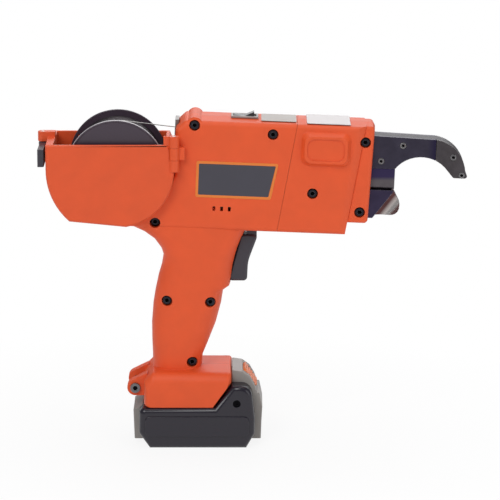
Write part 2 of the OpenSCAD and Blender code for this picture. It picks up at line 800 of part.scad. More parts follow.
// Spool: two flanges on a hollow hub, with a hole for the wire's start in each flange
hub_r = 20;
axle_head_r = 9;
axle_head_t = 2;
spool_half = spool_w / 2;
start_hole_r = 1;
start_hole_shares = [-0.8, 0.45];
module spool_axle() color(steel) {
    bar(spool_x, spool_z, axle_r, -spool_half - slide_gap, mag_half);
    bar(spool_x, spool_z, axle_head_r, -spool_half - slide_gap - axle_head_t, -spool_half - slide_gap);
    bar(spool_x, spool_z, axle_head_r, spool_half + slide_gap, mag_half - mag_wall);
}
module wire_spool() color(dark) {
    difference() {
        union() {
            bar(spool_x, spool_z, hub_r, -spool_half, spool_half);
            for (y = [-spool_half, spool_half - flange_t]) bar(spool_x, spool_z, spool_r, y, y + flange_t);
        }
        bar(spool_x, spool_z, axle_r + fit, -spool_w, spool_w);
        bar(spool_x + start_hole_shares[0] * spool_r, spool_z + start_hole_shares[1] * spool_r, start_hole_r,
            -spool_w, spool_w);
        for (s = [-1, 1])
            bar(spool_x, spool_z, hub_r - 2 * flange_t, s * spool_half - 2 * flange_t,
                s * spool_half + 2 * flange_t);
    }
}

// Winding: a plain core of wound wire under one outer layer of loops, a single helical tube
loops = 22;
loop_rings = 24;
tube_sides = 6;
loop_gap = 0.55;
wind_half = spool_half - flange_t;
loop_pitch = (2 * wind_half - 2 * slide_gap) / (loops + 1);
loop_r = (loop_pitch - loop_gap) / 2;
core_r = (wound_r - 2 * loop_r) * cos(180 / loop_rings) - fit;
loop_at = wound_r - loop_r;
function loop_point(i) =
    let (t = i / loop_rings, y = -wind_half + slide_gap + loop_pitch * (t + 0.5))
    [spool_x + loop_at * cos(360 * t), y, spool_z + loop_at * sin(360 * t)];
function loop_ring(i) =
    let (t = i / loop_rings, c = loop_point(i), out = [cos(360 * t), 0, sin(360 * t)])
    [for (k = [0:tube_sides - 1]) let (a = 360 * k / tube_sides)
        c + loop_r * (cos(a) * out - sin(a) * [0, 1, 0])];
module wire_winding() color(steel) {
    difference() {
        bar(spool_x, spool_z, core_r, -wind_half + fit, wind_half - fit);
        bar(spool_x, spool_z, hub_r + fit, -spool_w, spool_w);
    }
    loft([for (i = [0:loops * loop_rings]) loop_ring(i)]);
}
least_gap = loop_pitch * cos(atan(loop_pitch / (2 * PI * loop_at))) - 2 * loop_r;
echo(least_gap_between_loops = least_gap);

// Feed wire: straight from the top of the winding to the inlet, then along the barrel to the arm
inlet_at = from_barrel(-barrel_back, inlet_w);
wire_end = from_barrel(front_u - collar_l, wire_at(front_u - collar_l));
wire_vec = inlet_at - spool_at;
leave_a = atan2(wire_vec[1], wire_vec[0]) + acos((wound_r + wire_d / 2 + fit) / norm(wire_vec));
leave_at = spool_at + (wound_r + wire_d / 2 + fit) * [cos(leave_a), sin(leave_a)];
module wire_run(a, b, r, t = 0) {
    v = b - a;
    translate([a[0], 0, a[1]]) rotate([0, 90 - atan2(v[1], v[0]), 0])
        translate([0, 0, -t]) cylinder(r = r, h = norm(v) + 2 * t);
}
wire_sides = 12;
function run_dir(a, b) = atan2(b[1] - a[1], b[0] - a[0]);
function wire_ring(p, a) = [for (k = [0:wire_sides - 1]) let (b = 360 * k / wire_sides, r = wire_d / 2)
    [p[0] - r * cos(b) * sin(a), r * sin(b), p[1] + r * cos(b) * cos(a)]];
wire_dirs = [run_dir(leave_at, inlet_at), run_dir(inlet_at, wire_end)];
module feed_wire() color(steel)
    loft([
        wire_ring(leave_at, wire_dirs[0]),
        wire_ring(inlet_at, (wire_dirs[0] + wire_dirs[1]) / 2),
        wire_ring(wire_end, wire_dirs[1])
    ]);
module wire_inlet() color(steel) {
    difference() {
        union() {
            along_barrel() box([-barrel_back, -inlet_half, inlet_w - inlet_h / 2],
                [-barrel_back + inlet_t, inlet_half, half_h - wall - slide_gap]);
            wire_run(inlet_at, from_barrel(feed_u - wheel_r, wire_at(feed_u - wheel_r)), tube_r - seat_gap);
        }
        wire_run(inlet_at, from_barrel(feed_u, wire_at(feed_u)), wire_d, over);
    }
}

// Involute spur gears for the wire feed
pressure = 20;
backlash = 1.2;
flank_steps = 4;
addendum_share = 0.85;
dedendum_share = 1.15;
function involute(a) = tan(a) * 180 / PI - a;
function tooth_half(r, base, n) =
    90 / n + involute(pressure) - (r > base ? involute(acos(base / r)) : 0) - backlash;
function polar(r, a) = r * [cos(a), sin(a)];
function gear_pts(n, phase) =
    let (r = gear_module * n / 2, base = r * cos(pressure), tip = r + gear_module * addendum_share)
    let (root = r - gear_module * dedendum_share, low = max(base, root + fit))
    [for (i = [0:n - 1]) let (a = phase + 360 * i / n) each concat(
        [polar(root, a - tooth_half(base, base, n))],
        [for (k = [0:flank_steps]) let (q = low + (tip - low) * k / flank_steps)
            polar(q, a - tooth_half(q, base, n))],
        [for (k = [flank_steps:-1:0]) let (q = low + (tip - low) * k / flank_steps)
            polar(q, a + tooth_half(q, base, n))],
        [polar(root, a + tooth_half(base, base, n))])];
function moved(pts, v) = [for (p = pts) p + v];
gear_y0 = -9.4;
gear_y1 = -5;
wheel_half = 3;
wheel_phase = 90;
tooth_lag = (pinion_dir - wheel_phase) % (360 / wheel_teeth);

// A grooved feed wheel with its gear beside it, turning on a fixed axle
module geared_wheel(w, n, phase) {
    difference() {
        union() {
            plate(moved(gear_pts(n, phase), [feed_u, w]), gear_y0, gear_y1);
            bar(feed_u, w, gear_module * n / 2 - wire_d / 2, -wheel_half, wheel_half);
            bar(feed_u, w, axle_boss_r, gear_y0, axle_boss_in - slide_gap);
        }
        bar(feed_u, w, feed_axle_r + fit, -axle_boss_in, axle_boss_in);
    }
}
module feed_wheel() color(steel) along_barrel() geared_wheel(feed_w, wheel_teeth, wheel_phase);
module idler_wheel() color(steel) along_barrel()
    geared_wheel(idler_w, idler_teeth, wheel_phase + 180 + 180 / idler_teeth);
module feed_axles() color(steel) along_barrel()
    for (w = [feed_w, idler_w])
        bar(feed_u, w, feed_axle_r, -barrel_inner_half + seat_gap, barrel_inner_half - seat_gap);
module feed_pinion() color(steel) along_barrel() {
    phase = pinion_dir + 180 + 180 / pinion_teeth + tooth_lag * wheel_teeth / pinion_teeth;
    plate(moved(gear_pts(pinion_teeth, phase), [pinion_u, pinion_w]), gear_y0, gear_y1);
    bar(pinion_u, pinion_w, feed_axle_r, gear_y1, feed_motor_y + feed_motor_l / 2);
}
feed_motor_y = barrel_inner_half - seat_gap - feed_motor_l;
module feed_motor() color(steel) along_barrel() difference() {
    bar(pinion_u, pinion_w, feed_motor_r, feed_motor_y, feed_motor_y + feed_motor_l);
    bar(pinion_u, pinion_w, feed_axle_r + fit, feed_motor_y - over, feed_motor_y + feed_motor_l / 2 + over);
}

// Twister: motor, gearbox, spindle in a ball bearing, and the two-pronged hook
motor_neck_r = 8;
motor_neck_l = 5;
module twist_motor() color(steel) along_barrel() {
    rod(twist_motor_r, motor_u, gearbox_u);
    rod(motor_neck_r, motor_u - motor_neck_l, motor_u);
}
module gearbox_case() color(dark) along_barrel() difference() {
    union() {
        rod(gearbox_r, gearbox_u, gearbox_u + gearbox_l - motor_neck_l);
        rod(bearing_r, gearbox_u + gearbox_l - motor_neck_l, gearbox_u + gearbox_l);
    }
    rod(spindle_r + fit, gearbox_u + gearbox_l - 2 * motor_neck_l, gearbox_u + gearbox_l + over);
}
hook_l = 10;
hook_stand = 1;
hook_r = spindle_r + hook_stand;
hook_slot = 3.2;
hook_wall = 2;
hook_u = front_u + block_reach - hook_l;
module twist_spindle() color(steel) along_barrel()
    rod(spindle_r, gearbox_u + gearbox_l - 2 * motor_neck_l + slide_gap, hook_u);
module twist_hook() color(blued) along_barrel() difference() {
    rod(hook_r, hook_u, hook_u + hook_l);
    box([hook_u + hook_wall, -hook_slot / 2, -2 * hook_r],
        [hook_u + hook_l + over, hook_slot / 2, 2 * hook_r]);
    rod(hook_r - hook_wall, hook_u + hook_wall, hook_u + hook_l + over);
}
module spindle_bearing() color(steel) along_barrel() difference() {
    rod(bearing_r, bearing_u, bearing_u + bearing_l);
    rod(spindle_r + fit, bearing_u - over, bearing_u + bearing_l + over);
}
block_corner_r = 3;
module twister_block() color(blued) along_barrel() difference() {
    translate([root_u, 0, 0]) rotate([90, 0, 90]) linear_extrude(front_u + block_reach - root_u)
        polygon(outline([
            [-block_w / 2, -block_h / 2, block_corner_r], [block_w / 2, -block_h / 2, block_corner_r],
            [block_w / 2, block_h / 2, 0], [-block_w / 2, block_h / 2, 0]
        ]));
    rod(spindle_r + fit, root_u - over, front_u + block_reach + over);
    rod(hook_r + slide_gap, hook_u - slide_gap, front_u + block_reach + over);
}

// Lower guide: a deep bowl open to the near side, with a rounded nose
guide_reach = 24;
guide_nose_r = 8;
guide_bowl_r = 9.2;
guide_bowl_y = -4.5;
guide_diagonal = 54;
guide_top = guide_w0 + guide_h;
guide_shares = [0.73, 1, 0.46];
guide_pts = outline([
    [root_u, guide_w0, 0],
    [front_u + guide_reach, guide_w0, guide_nose_r],
    [front_u + guide_reach, guide_w0 + guide_shares[2] * guide_h, guide_nose_r],
    [front_u + guide_shares[0] * guide_reach, guide_top, 0],
    [root_u, guide_top, 0]
]);
module guide_bowl() {
    translate([front_u + guide_reach, guide_bowl_y, guide_w0 + guide_nose_r])
        rotate([0, 90 - guide_diagonal, 0])
        cylinder(r = guide_bowl_r, h = 3 * guide_reach, center = true);
}
module lower_guide() color(blued) difference() {
    along_barrel() difference() {
        plate(guide_pts, -arm_half, arm_half);
        translate([-guide_nose_r / 2, 0, guide_nose_r / 2]) guide_bowl();
    }
    bar(collar_screws[1][0], collar_screws[1][1], screw_r + 2 * fit, -barrel_w, barrel_w);
}

// Curl arm: a core with the wire channel between two plates, and tip plates beyond the joint
arch_share = 0.51;
arch_drop = 15.9;
arch_r = 26.2;
tip_r = 27.6;
tip_in = 30.1;
tip_drop = 29.1;
arm_steps = 12;
tip_round = 2;
tip_back = 3;
tip_flat = 11;
joint_share = 0.655;
arm_tip = front_u + arm_reach;
tip_below = 5.6;
tip_low = arm_w0 - tip_below;
arch_at = [front_u + arch_share * arm_reach, arm_w0 - arch_drop];
tip_at = [arm_tip - tip_in, arm_w1 - tip_drop];
arch_a = asin(arch_drop / arch_r);
arm_pts = concat(
    [[root_u, arm_w0]],
    arc(arch_at, arch_r, 180 - arch_a, 45, arm_steps),
    arc([arm_tip - tip_flat, tip_low + tip_round], tip_round, 225, 270, 2),
    arc([arm_tip - tip_back, tip_low + tip_round], tip_round, 270, 360, 4),
    arc(tip_at, tip_r, 6, 83, arm_steps),
    [[root_u, arm_w1]]);
joint_u = front_u + joint_share * arm_reach;
joint_gap = 0.3;
channel_w = 3;
channel_d = 2.5;
core_half = arm_half - plate_t;
arm_screw_shares = [[0.31, 0.72], [0.09, 0.22], [0.835, 0.42], [0.93, -0.12]];
arm_screw_r = 1.5;
arm_head_r = 2.6;
arm_head_h = 1.6;
arm_screws_at = [for (s = arm_screw_shares) [front_u + s[0] * arm_reach, arm_w0 + s[1] * arm_h]];

module arm_holes(r) {
    along_barrel() for (p = arm_screws_at) bar(p[0], p[1], r, -barrel_w, barrel_w);
}
module arm_heads(near) {
    along_barrel() for (p = arm_screws_at)
        if (near) bar(p[0], p[1], arm_head_r + 2 * fit, -barrel_w, -arm_half + arm_head_h);
}
module clamp_hole() {
    bar(collar_screws[0][0], collar_screws[0][1], screw_r + 2 * fit, -barrel_w, barrel_w);
}
module arm_core() color(steel) difference() {
    along_barrel() plate(arm_pts, -core_half, core_half);
    along_barrel() {
        plate(concat(arc(arch_at, arch_r + channel_d, 180 - arch_a, 20, arm_steps),
            arc(arch_at, arch_r / 2, 20, 180 - arch_a, arm_steps)), -channel_w / 2, channel_w / 2);
        wire_channel();
    }
    arm_holes(arm_screw_r + fit);
    clamp_hole();
}
module wire_channel() {
    translate([0, 0, wire_at(0)]) rotate([0, atan(wire_fall), 0])
        rod(channel_w / 2, root_u - over, arch_at[0]);
}
module arm_side(y0, y1, tip, near) {
    difference() {
        along_barrel() intersection() {
            plate(arm_pts, y0, y1);
            if (tip) box([joint_u, -arm_w, -barrel_h], [arm_tip + over, arm_w, barrel_h]);
            else box([root_u - over, -arm_w, -barrel_h], [joint_u - joint_gap, arm_w, barrel_h]);
        }
        arm_holes(arm_screw_r + fit);
        arm_heads(near);
        clamp_hole();
    }
}
module arm_plate_left() color(blued) arm_side(-arm_half, -core_half, false, true);
module arm_plate_right() color(blued) arm_side(core_half, arm_half, false, false);
module tip_plate_left() color(blued) arm_side(-arm_half, -core_half, true, true);
module tip_plate_right() color(blued) arm_side(core_half, arm_half, true, false);
module arm_screws() color(dark) along_barrel() for (p = arm_screws_at) difference() {
    union() {
        bar(p[0], p[1], arm_screw_r, -arm_half + arm_head_h, arm_half);
        bar(p[0], p[1], arm_head_r, -arm_half, -arm_half + arm_head_h);
    }
    translate([p[0], -arm_half + arm_head_h / 2, p[1]]) rotate([90, 0, 0])
        cylinder(r = arm_screw_r * hex_share, h = arm_head_h, $fn = 6);
}

// Trigger: a curved lever on a pin inside the barrel
trigger_x = 39.2;
trigger_deep = 15.5;
trigger_top_deep = 9;
trigger_lip = 9;
trigger_bow = 0.8;
trigger_bow_share = 0.42;
trigger_round = 3;
trigger_bow_r = 30;
trigger_lug_r = 4;
trigger_edge = 1.5;
trigger_top = trigger_z + trigger_h;
trigger_pts = outline([
    [trigger_x - trigger_deep, trigger_z, trigger_round],
    [trigger_x, trigger_z, trigger_round],
    [trigger_x + trigger_bow, trigger_z + trigger_bow_share * trigger_h, trigger_bow_r],
    [trigger_x + trigger_lip, trigger_top, trigger_round],
    [trigger_pivot[0] - trigger_top_deep, trigger_top, trigger_round]
]);
trigger_half = trigger_w / 2;
module trigger() color(dark) difference() {
    union() {
        loft([
            upright(drawn_in(trigger_pts, trigger_edge), -trigger_half),
            upright(trigger_pts, -trigger_half + trigger_edge),
            upright(trigger_pts, trigger_half - trigger_edge),
            upright(drawn_in(trigger_pts, trigger_edge), trigger_half)
        ], fanned = true);
        box([trigger_pivot[0] - trigger_lug_r, -trigger_half + trigger_edge, trigger_top - trigger_round],
            [trigger_pivot[0] + trigger_lug_r, trigger_half - trigger_edge, trigger_pivot[1]]);
        bar(trigger_pivot[0], trigger_pivot[1], trigger_lug_r, -trigger_half, trigger_half);
    }
    bar(trigger_pivot[0], trigger_pivot[1], trigger_pin_r + fit, -trigger_w, trigger_w);
}
module trigger_pin() color(steel)
    bar(trigger_pivot[0], trigger_pivot[1], trigger_pin_r, -barrel_inner_half + seat_gap,
        barrel_inner_half - seat_gap);
trigger_switch_h = 26;
module trigger_switch() color(dark)
    box([switch_x, -trigger_half, trigger_z + trigger_h / 4],
        [pocket_back - slide_gap, trigger_half, trigger_z + trigger_h / 4 + trigger_switch_h]);

// Power switch on top: a bezel with a box under it and a rocker on two trunnions
bezel_t = 1.6;
switch_deep = 10.5;
rocker_wall = 1.6;
rocker_pivot_deep = 1.5;
rocker_tilt = 10;
trunnion_r = 1.2;
rocker_mid = switch_u + switch_l / 2;
rocker_in = 2.6;
rocker_half_l = switch_l / 2 - rocker_in;
rocker_half_w = switch_w / 2 - switch_rim - rocker_wall - slide_gap;
rocker_rise = 3.6;
rocker_dip = 1.6;
rocker_low = 3;
module power_switch() color(grey) along_barrel() difference() {
    union() {
        box([switch_u, -switch_w / 2, half_h], [switch_u + switch_l, switch_w / 2, half_h + bezel_t]);
        box([switch_u + switch_rim + seat_gap, -switch_w / 2 + switch_rim + seat_gap, half_h - switch_deep],
            [switch_u + switch_l - switch_rim - seat_gap, switch_w / 2 - switch_rim - seat_gap, half_h]);
    }
    box([rocker_mid - rocker_half_l - over, -rocker_half_w - slide_gap, half_h - switch_deep + rocker_wall],
        [rocker_mid + rocker_half_l + over, rocker_half_w + slide_gap, half_h + 2 * bezel_t]);
    bar(rocker_mid, half_h - rocker_pivot_deep, trunnion_r + fit, -rocker_half_w - over, rocker_half_w + over);
}
module power_rocker() color(dark) along_barrel()
    translate([rocker_mid, 0, half_h - rocker_pivot_deep]) rotate([0, -rocker_tilt, 0]) {
        plate([[-rocker_half_l + over, -rocker_low], [rocker_half_l - over, -rocker_low],
            [rocker_half_l, rocker_rise], [0, rocker_dip], [-rocker_half_l, rocker_rise]],
            -rocker_half_w, rocker_half_w);
        bar(0, 0, trunnion_r, -rocker_half_w - over, rocker_half_w + over);
    }
board_half = 18;
chip_h = 4;
chip_shares = [[0.2, 0.35], [0.45, 0.68]];
module control_board() color([0.1, 0.4, 0.2]) along_barrel() {
    box([board_u, -board_half, board_w], [board_u + board_l, board_half, board_w + board_t]);
    for (s = chip_shares) box([board_u + s[0] * board_l, -board_half / 2, board_w + board_t],
        [board_u + s[1] * board_l, board_half / 2, board_w + board_t + chip_h]);
}

// Battery: dark case with a grey middle cover at the front and back
battery_half = battery_w / 2;
deck_gap = 0.2;
deck_z = battery_h - deck_gap;
case_inset = 6;
base_half = 38.6;
case_low_z = 12;
case_mid_z = 26;
shoulder_x = 31;
shoulder_drop = 1;
shoulder_z = battery_h + foot_slant_z - shoulder_drop;
case_front = battery_front - case_inset;
case_back_inset = 5;
case_back = battery_back - case_back_inset;
case_r = 5;
shoulder_r = 9;
slant_gap = 0.6;
case_pts = outline([
    [base_half, 0, 0],
    [case_front, case_low_z, case_r], [case_front, case_mid_z, case_r],
    [case_front - case_inset / 2, shoulder_z, shoulder_r],
    [foot_front + slant_gap, shoulder_z, 0],
    [foot_front - foot_slant_x + slant_gap + over, deck_z, 0],
    [-case_back, deck_z, case_r], [-case_back, case_low_z, case_r],
    [-base_half, 0, 0]
]);
case_edge_r = 4;
module full_slab(pts, half, r) {
    angles = [for (k = [0:edge_steps]) 90 * k / edge_steps];
    loft(concat(
        [for (a = angles) upright(drawn_in(pts, r * (1 - sin(a))), -half + r * (1 - cos(a)))],
        [for (i = [edge_steps:-1:0]) let (a = angles[i])
            upright(drawn_in(pts, r * (1 - sin(a))), half - r * (1 - cos(a)))]
    ), fanned = true);
}
cover_half = 20;
cover_x = foot_front + slide_gap;
cover_low = 4;
rear_lap = 3;
rear_x = case_back - rear_lap;
rear_top = deck_z;
cell_z = 14;
cell_pitch = 20;
cell_in = 7.5;
cell_x0 = -case_back + cell_in;
blade_y = 8;
blade_t = 0.8;
blade_gap = 0.4;
socket_x0 = -30;
socket_x1 = -12;
bat_screw_rise = 3.8;
bat_screw_at = [shoulder_x, battery_h + bat_screw_rise];
bat_screw_r = 1.6;
bat_head_r = 3;
bat_sink = 3;
module battery_case() color(dark) difference() {
    union() {
        full_slab(case_pts, battery_half, case_edge_r);
        box([-rail_back, -rail_neck / 2, deck_z - over], [rail_front, rail_neck / 2, flange_z]);
        box([-rail_back, -rail_w / 2, flange_z], [rail_front, rail_w / 2, flange_z + rail_t]);
        box([socket_x0, -socket_half, flange_z], [socket_x1, socket_half, flange_z + rail_t + socket_h]);
    }
    box([cover_x - seat_gap, -cover_half - seat_gap, cover_low - seat_gap],
        [foot_l, cover_half + seat_gap, foot_l]);
    box([-foot_l, -cover_half - seat_gap, cover_low - seat_gap],
        [-rear_x + seat_gap, cover_half + seat_gap, foot_l]);
    for (y = [-cell_pitch, 0, cell_pitch])
        rod(cell_d / 2 + seat_gap, cell_x0 - seat_gap, cell_x0 + cell_l + seat_gap, cell_z, y);
    for (s = [-1, 1]) {
        box([socket_x0 - over, s * blade_y - blade_t / 2 - blade_gap, flange_z + rail_t],
            [socket_x1 - wall, s * blade_y + blade_t / 2 + blade_gap, flange_z + rail_t + socket_h - over]);
        bar(bat_screw_at[0], bat_screw_at[1], bat_head_r + 2 * fit, s * battery_half - bat_sink,
            s * battery_half + bat_sink);
        bar(bat_screw_at[0], bat_screw_at[1], bat_screw_r + fit, s * (battery_half - bat_sink) - bat_sink * 2,
            s * (battery_half - bat_sink) + bat_sink * 2);
    }
}
module battery_screws() color(blued) for (s = [-1, 1]) mirror([0, s > 0 ? 1 : 0, 0]) difference() {
    union() {
        bar(bat_screw_at[0], bat_screw_at[1], bat_head_r, -battery_half + over, -battery_half + bat_sink);
        bar(bat_screw_at[0], bat_screw_at[1], bat_screw_r, -battery_half + bat_sink,
            -battery_half + 2.5 * bat_sink);
    }
    translate([bat_screw_at[0], -battery_half + bat_sink * 2 / 3, bat_screw_at[1]]) rotate([90, 0, 0])
        cylinder(r = bat_screw_r, h = bat_sink, $fn = 5);
}
cover_top = battery_h + foot_h;
cover_r = 0.8;
cover_edge_r = 0.6;
cover_shares = [
    [0.33, 0.98], [0.57, 0.91], [0.73, 0.8], [0.83, 0.69], [0.9, 0.69], [1, 0.5], [0.97, 0.3], [0.95, 0.08]
];
cover_l = battery_front - cover_x;
cover_pts = outline(concat(
    [[cover_x, cover_low, 0], [cover_x + cover_shares[7][0] * cover_l, cover_low, cover_r]],
    [for (i = [6:-1:0]) [cover_x + cover_shares[i][0] * cover_l, cover_shares[i][1] * cover_top, cover_r]],
    [[cover_x, cover_top, cover_r]]));
rear_pts = outline([
    [-battery_back + cover_r, cover_low, cover_r], [-rear_x, cover_low, 0],
    [-rear_x, rear_top, cover_r], [-battery_back, rear_top - case_r, cover_r]
]);

// Release button: on the cover's slope, pressed in against a spring
button_shares = [0.6, 0.86];
button_a = 56;
button_l = 17;
button_half = 12;
button_t = 6;
button_proud = 1;
button_travel = 2.2;
button_r = 3;
module on_slope() {
    translate([cover_x + button_shares[0] * cover_l, 0, button_shares[1] * cover_top])
        rotate([0, button_a, 0]) children();
}
module button_solid(gap, deep) {
    translate([0, 0, button_proud - deep]) linear_extrude(deep + gap * over) polygon(outline([
        [-button_l / 2 - gap, -button_half - gap, button_r],
        [button_l / 2 + gap, -button_half - gap, button_r],
        [button_l / 2 + gap, button_half + gap, button_r],
        [-button_l / 2 - gap, button_half + gap, button_r]
    ]));
}
module battery_cover() color(grey) {
    difference() {
        full_slab(cover_pts, cover_half, cover_edge_r);
        on_slope() button_solid(slide_gap, button_t + button_travel + slide_gap);
        on_slope() translate([0, 0, button_proud + over / 4]) button_solid(slide_gap, over);
    }
    full_slab(rear_pts, cover_half, cover_edge_r);
}
rib_pitch = 3;
rib_deep = 0.7;
module release_button() color(orange) on_slope() difference() {
    button_solid(0, button_t);
    for (i = [-2:2]) box([i * rib_pitch - rib_deep, -button_half - over, button_proud - rib_deep],
        [i * rib_pitch + rib_deep, button_half + over, button_proud + over]);
}
module battery_cells() color([0.2, 0.4, 0.6])
    for (y = [-cell_pitch, 0, cell_pitch]) rod(cell_d / 2, cell_x0, cell_x0 + cell_l, cell_z, y);
terminal_z = flange_z + rail_t + over;
terminal_l = 8;
module terminal_block() color(dark) {
    x0 = -foot_back + wall + seat_gap;
    box([x0, -socket_half, terminal_z], [x0 + terminal_l, socket_half, terminal_z + terminal_l]);
    for (s = [-1, 1]) box([x0 + terminal_l, s * blade_y - blade_t / 2, terminal_z],
        [socket_x1 - 2 * wall, s * blade_y + blade_t / 2, terminal_z + socket_h - 2.5 * over]);
}
lanyard_head_r = 4;
lanyard_head_h = 2.5;
module lanyard_screw() color(dark) {
    y = ear_gap / 2 + ear_t;
    difference() {
        bar(lanyard_at[0], lanyard_at[1], lanyard_head_r, -y - lanyard_head_h, -y);
        translate([lanyard_at[0], -y - lanyard_head_h / 2, lanyard_at[1]]) rotate([90, 0, 0])
            cylinder(r = lanyard_r * hex_share, h = lanyard_head_h, $fn = 6);
    }
    bar(lanyard_at[0], lanyard_at[1], lanyard_r, -y, y);
}

housing_left();
housing_right();
nose_left();
nose_right();
housing_screws();
magazine_tray();
magazine_door();
door_hinge_pin();
latch_lever();
latch_pin();
spool_axle();
wire_spool();
wire_winding();
feed_wire();
wire_inlet();
feed_motor();
feed_pinion();
feed_wheel();
idler_wheel();
feed_axles();
twist_motor();
gearbox_case();
twist_spindle();
twist_hook();
spindle_bearing();
twister_block();
lower_guide();
arm_core();
arm_plate_left();
arm_plate_right();
tip_plate_left();
tip_plate_right();
arm_screws();
trigger();
trigger_pin();
trigger_switch();
power_switch();
power_rocker();
control_board();
battery_case();
battery_cover();
battery_cells();
battery_screws();
release_button();
terminal_block();
lanyard_screw();
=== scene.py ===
import math

import bpy
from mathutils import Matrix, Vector


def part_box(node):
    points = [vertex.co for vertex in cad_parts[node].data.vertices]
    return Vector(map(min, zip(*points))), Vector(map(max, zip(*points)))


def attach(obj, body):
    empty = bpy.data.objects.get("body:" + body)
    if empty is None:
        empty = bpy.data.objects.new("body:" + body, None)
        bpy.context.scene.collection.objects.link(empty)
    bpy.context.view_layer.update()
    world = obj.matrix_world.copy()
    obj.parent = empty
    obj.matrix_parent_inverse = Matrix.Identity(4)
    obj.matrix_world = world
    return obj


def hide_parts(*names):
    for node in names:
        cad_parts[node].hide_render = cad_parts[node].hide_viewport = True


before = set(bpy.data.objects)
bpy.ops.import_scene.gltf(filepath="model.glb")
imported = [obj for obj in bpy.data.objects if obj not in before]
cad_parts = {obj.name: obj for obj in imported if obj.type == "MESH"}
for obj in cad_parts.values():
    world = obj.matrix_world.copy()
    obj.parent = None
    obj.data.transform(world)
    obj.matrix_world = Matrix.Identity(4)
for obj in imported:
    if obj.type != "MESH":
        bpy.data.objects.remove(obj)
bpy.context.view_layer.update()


# Studio
# A white sweep under soft lights. The camera stands in front of the tool's near side, a little above
# it and far away, so that the barrel is almost free of perspective.
camera_aim = Vector((0.0416, 0.0, 0.155))
camera_rise = math.radians(13)
camera_distance = 2.5
view_width = 0.4
sensor_width = 36

camera_data = bpy.data.cameras.new("camera")
camera_data.sensor_width = sensor_width
camera_data.lens = sensor_width * camera_distance / view_width
camera = bpy.data.objects.new("camera", camera_data)
camera.location = camera_aim + camera_distance * Vector((0, -math.cos(camera_rise), math.sin(camera_rise)))
camera.rotation_euler = (math.pi / 2 - camera_rise, 0, 0)
bpy.context.scene.collection.objects.link(camera)
bpy.context.scene.camera = camera
bpy.context.scene.view_settings.view_transform = "Standard"


class Val:
    """A shader value that takes part in Python sums."""

    def __init__(self, finish, socket):
        self.finish = finish
        self.socket = socket

    def maths(self, operation, first, second):
        return self.finish.node("ShaderNodeMath", {"operation": operation}, {0: first, 1: second})

    def __add__(self, other):
        return self.maths("ADD", self, other)

    def __radd__(self, other):
        return self.maths("ADD", other, self)

    def __sub__(self, other):
        return self.maths("SUBTRACT", self, other)

    def __rsub__(self, other):
        return self.maths("SUBTRACT", other, self)

    def __mul__(self, other):
        return self.maths("MULTIPLY", self, other)

    def __rmul__(self, other):
        return self.maths("MULTIPLY", other, self)


class Finish:
    """A material being mixed: its nodes and the shader that they feed."""

    def __init__(self, name):
        self.material = bpy.data.materials.new(name)
        self.material.use_nodes = True
        self.tree = self.material.node_tree
        self.shader = self.tree.nodes["Principled BSDF"]

    def plug(self, socket, value):
        """Links a shader value to a socket, or sets a plain one."""
        if isinstance(value, Val):
            self.tree.links.new(value.socket, socket)
        else:
            socket.default_value = value

    def node(self, kind, settings=None, sockets=None, out=0):
        """A new node's output."""
        made = self.tree.nodes.new(kind)
        for key, value in (settings or {}).items():
            setattr(made, key, value)
        for key, value in (sockets or {}).items():
            self.plug(made.inputs[key], value)
        return Val(self, made.outputs[out])

    def feed(self, **inputs):
        """Sets the shader's inputs, with _ for each space in their names."""
        for key, value in inputs.items():
            self.plug(self.shader.inputs[key.replace("_", " ")], value)

    def place(self):
        """The spot on the piece, in metres."""
        return self.node("ShaderNodeTexCoord", out="Object")

    def noise(self, scale, detail, where=None):
        return self.node("ShaderNodeTexNoise", sockets={
            "Vector": where or self.place(), "Scale": scale, "Detail": detail})

    def between(self, share, low, high):
        """Two colours mixed by a share. Sockets 6 and 7 are the node's colours, output 2 their mix."""
        return self.node("ShaderNodeMix", {"data_type": "RGBA"}, {0: share, 6: low, 7: high}, out=2)

    def ramp(self, share, low, high):
        """0 below low, 1 above high."""
        return self.node("ShaderNodeMapRange", {"clamp": True}, {
            "Value": share, "From Min": low, "From Max": high, "To Min": 0.0, "To Max": 1.0})

    def along(self, first, second):
        """The dot product of two vectors."""
        return self.node("ShaderNodeVectorMath", {"operation": "DOT_PRODUCT"},
                         {0: first, 1: second}, out="Value")

    def rounded(self, radius):
        """The normal as it would be with every edge rounded."""
        return self.node("ShaderNodeBevel", {"samples": 4}, {"Radius": radius})

    def edges(self, radius):
        """1 along sharp edges, 0 on the flats."""
        least_bend, full_bend = 0.02, 0.25
        true_normal = self.node("ShaderNodeNewGeometry", out="Normal")
        return self.ramp(1 - self.along(self.rounded(radius), true_normal), least_bend, full_bend)

    def bump(self, height, strength, distance, normal):
        return self.node("ShaderNodeBump", sockets={
            "Height": height, "Strength": strength, "Distance": distance, "Normal": normal})


def colour(red, green, blue):
    """A colour as it is read off a screen, 0 to 255, in Blender's linear values."""
    def linear(value):
        value /= 255
        return value / 12.92 if value <= 0.04045 else ((value + 0.055) / 1.055) ** 2.4
    return (linear(red), linear(green), linear(blue), 1.0)


# The floor's paper gives off most of the white that is seen of it, and all of it away from the tool, so
# that its shadows stay faint.
floor_size = 6.0
floor_cuts = 3
paper_rough = 0.9
own_light = 0.88
own_light_added = 0.12
fade_start, fade_end = 0.04, 0.35
pure_white = (1, 1, 1, 1)

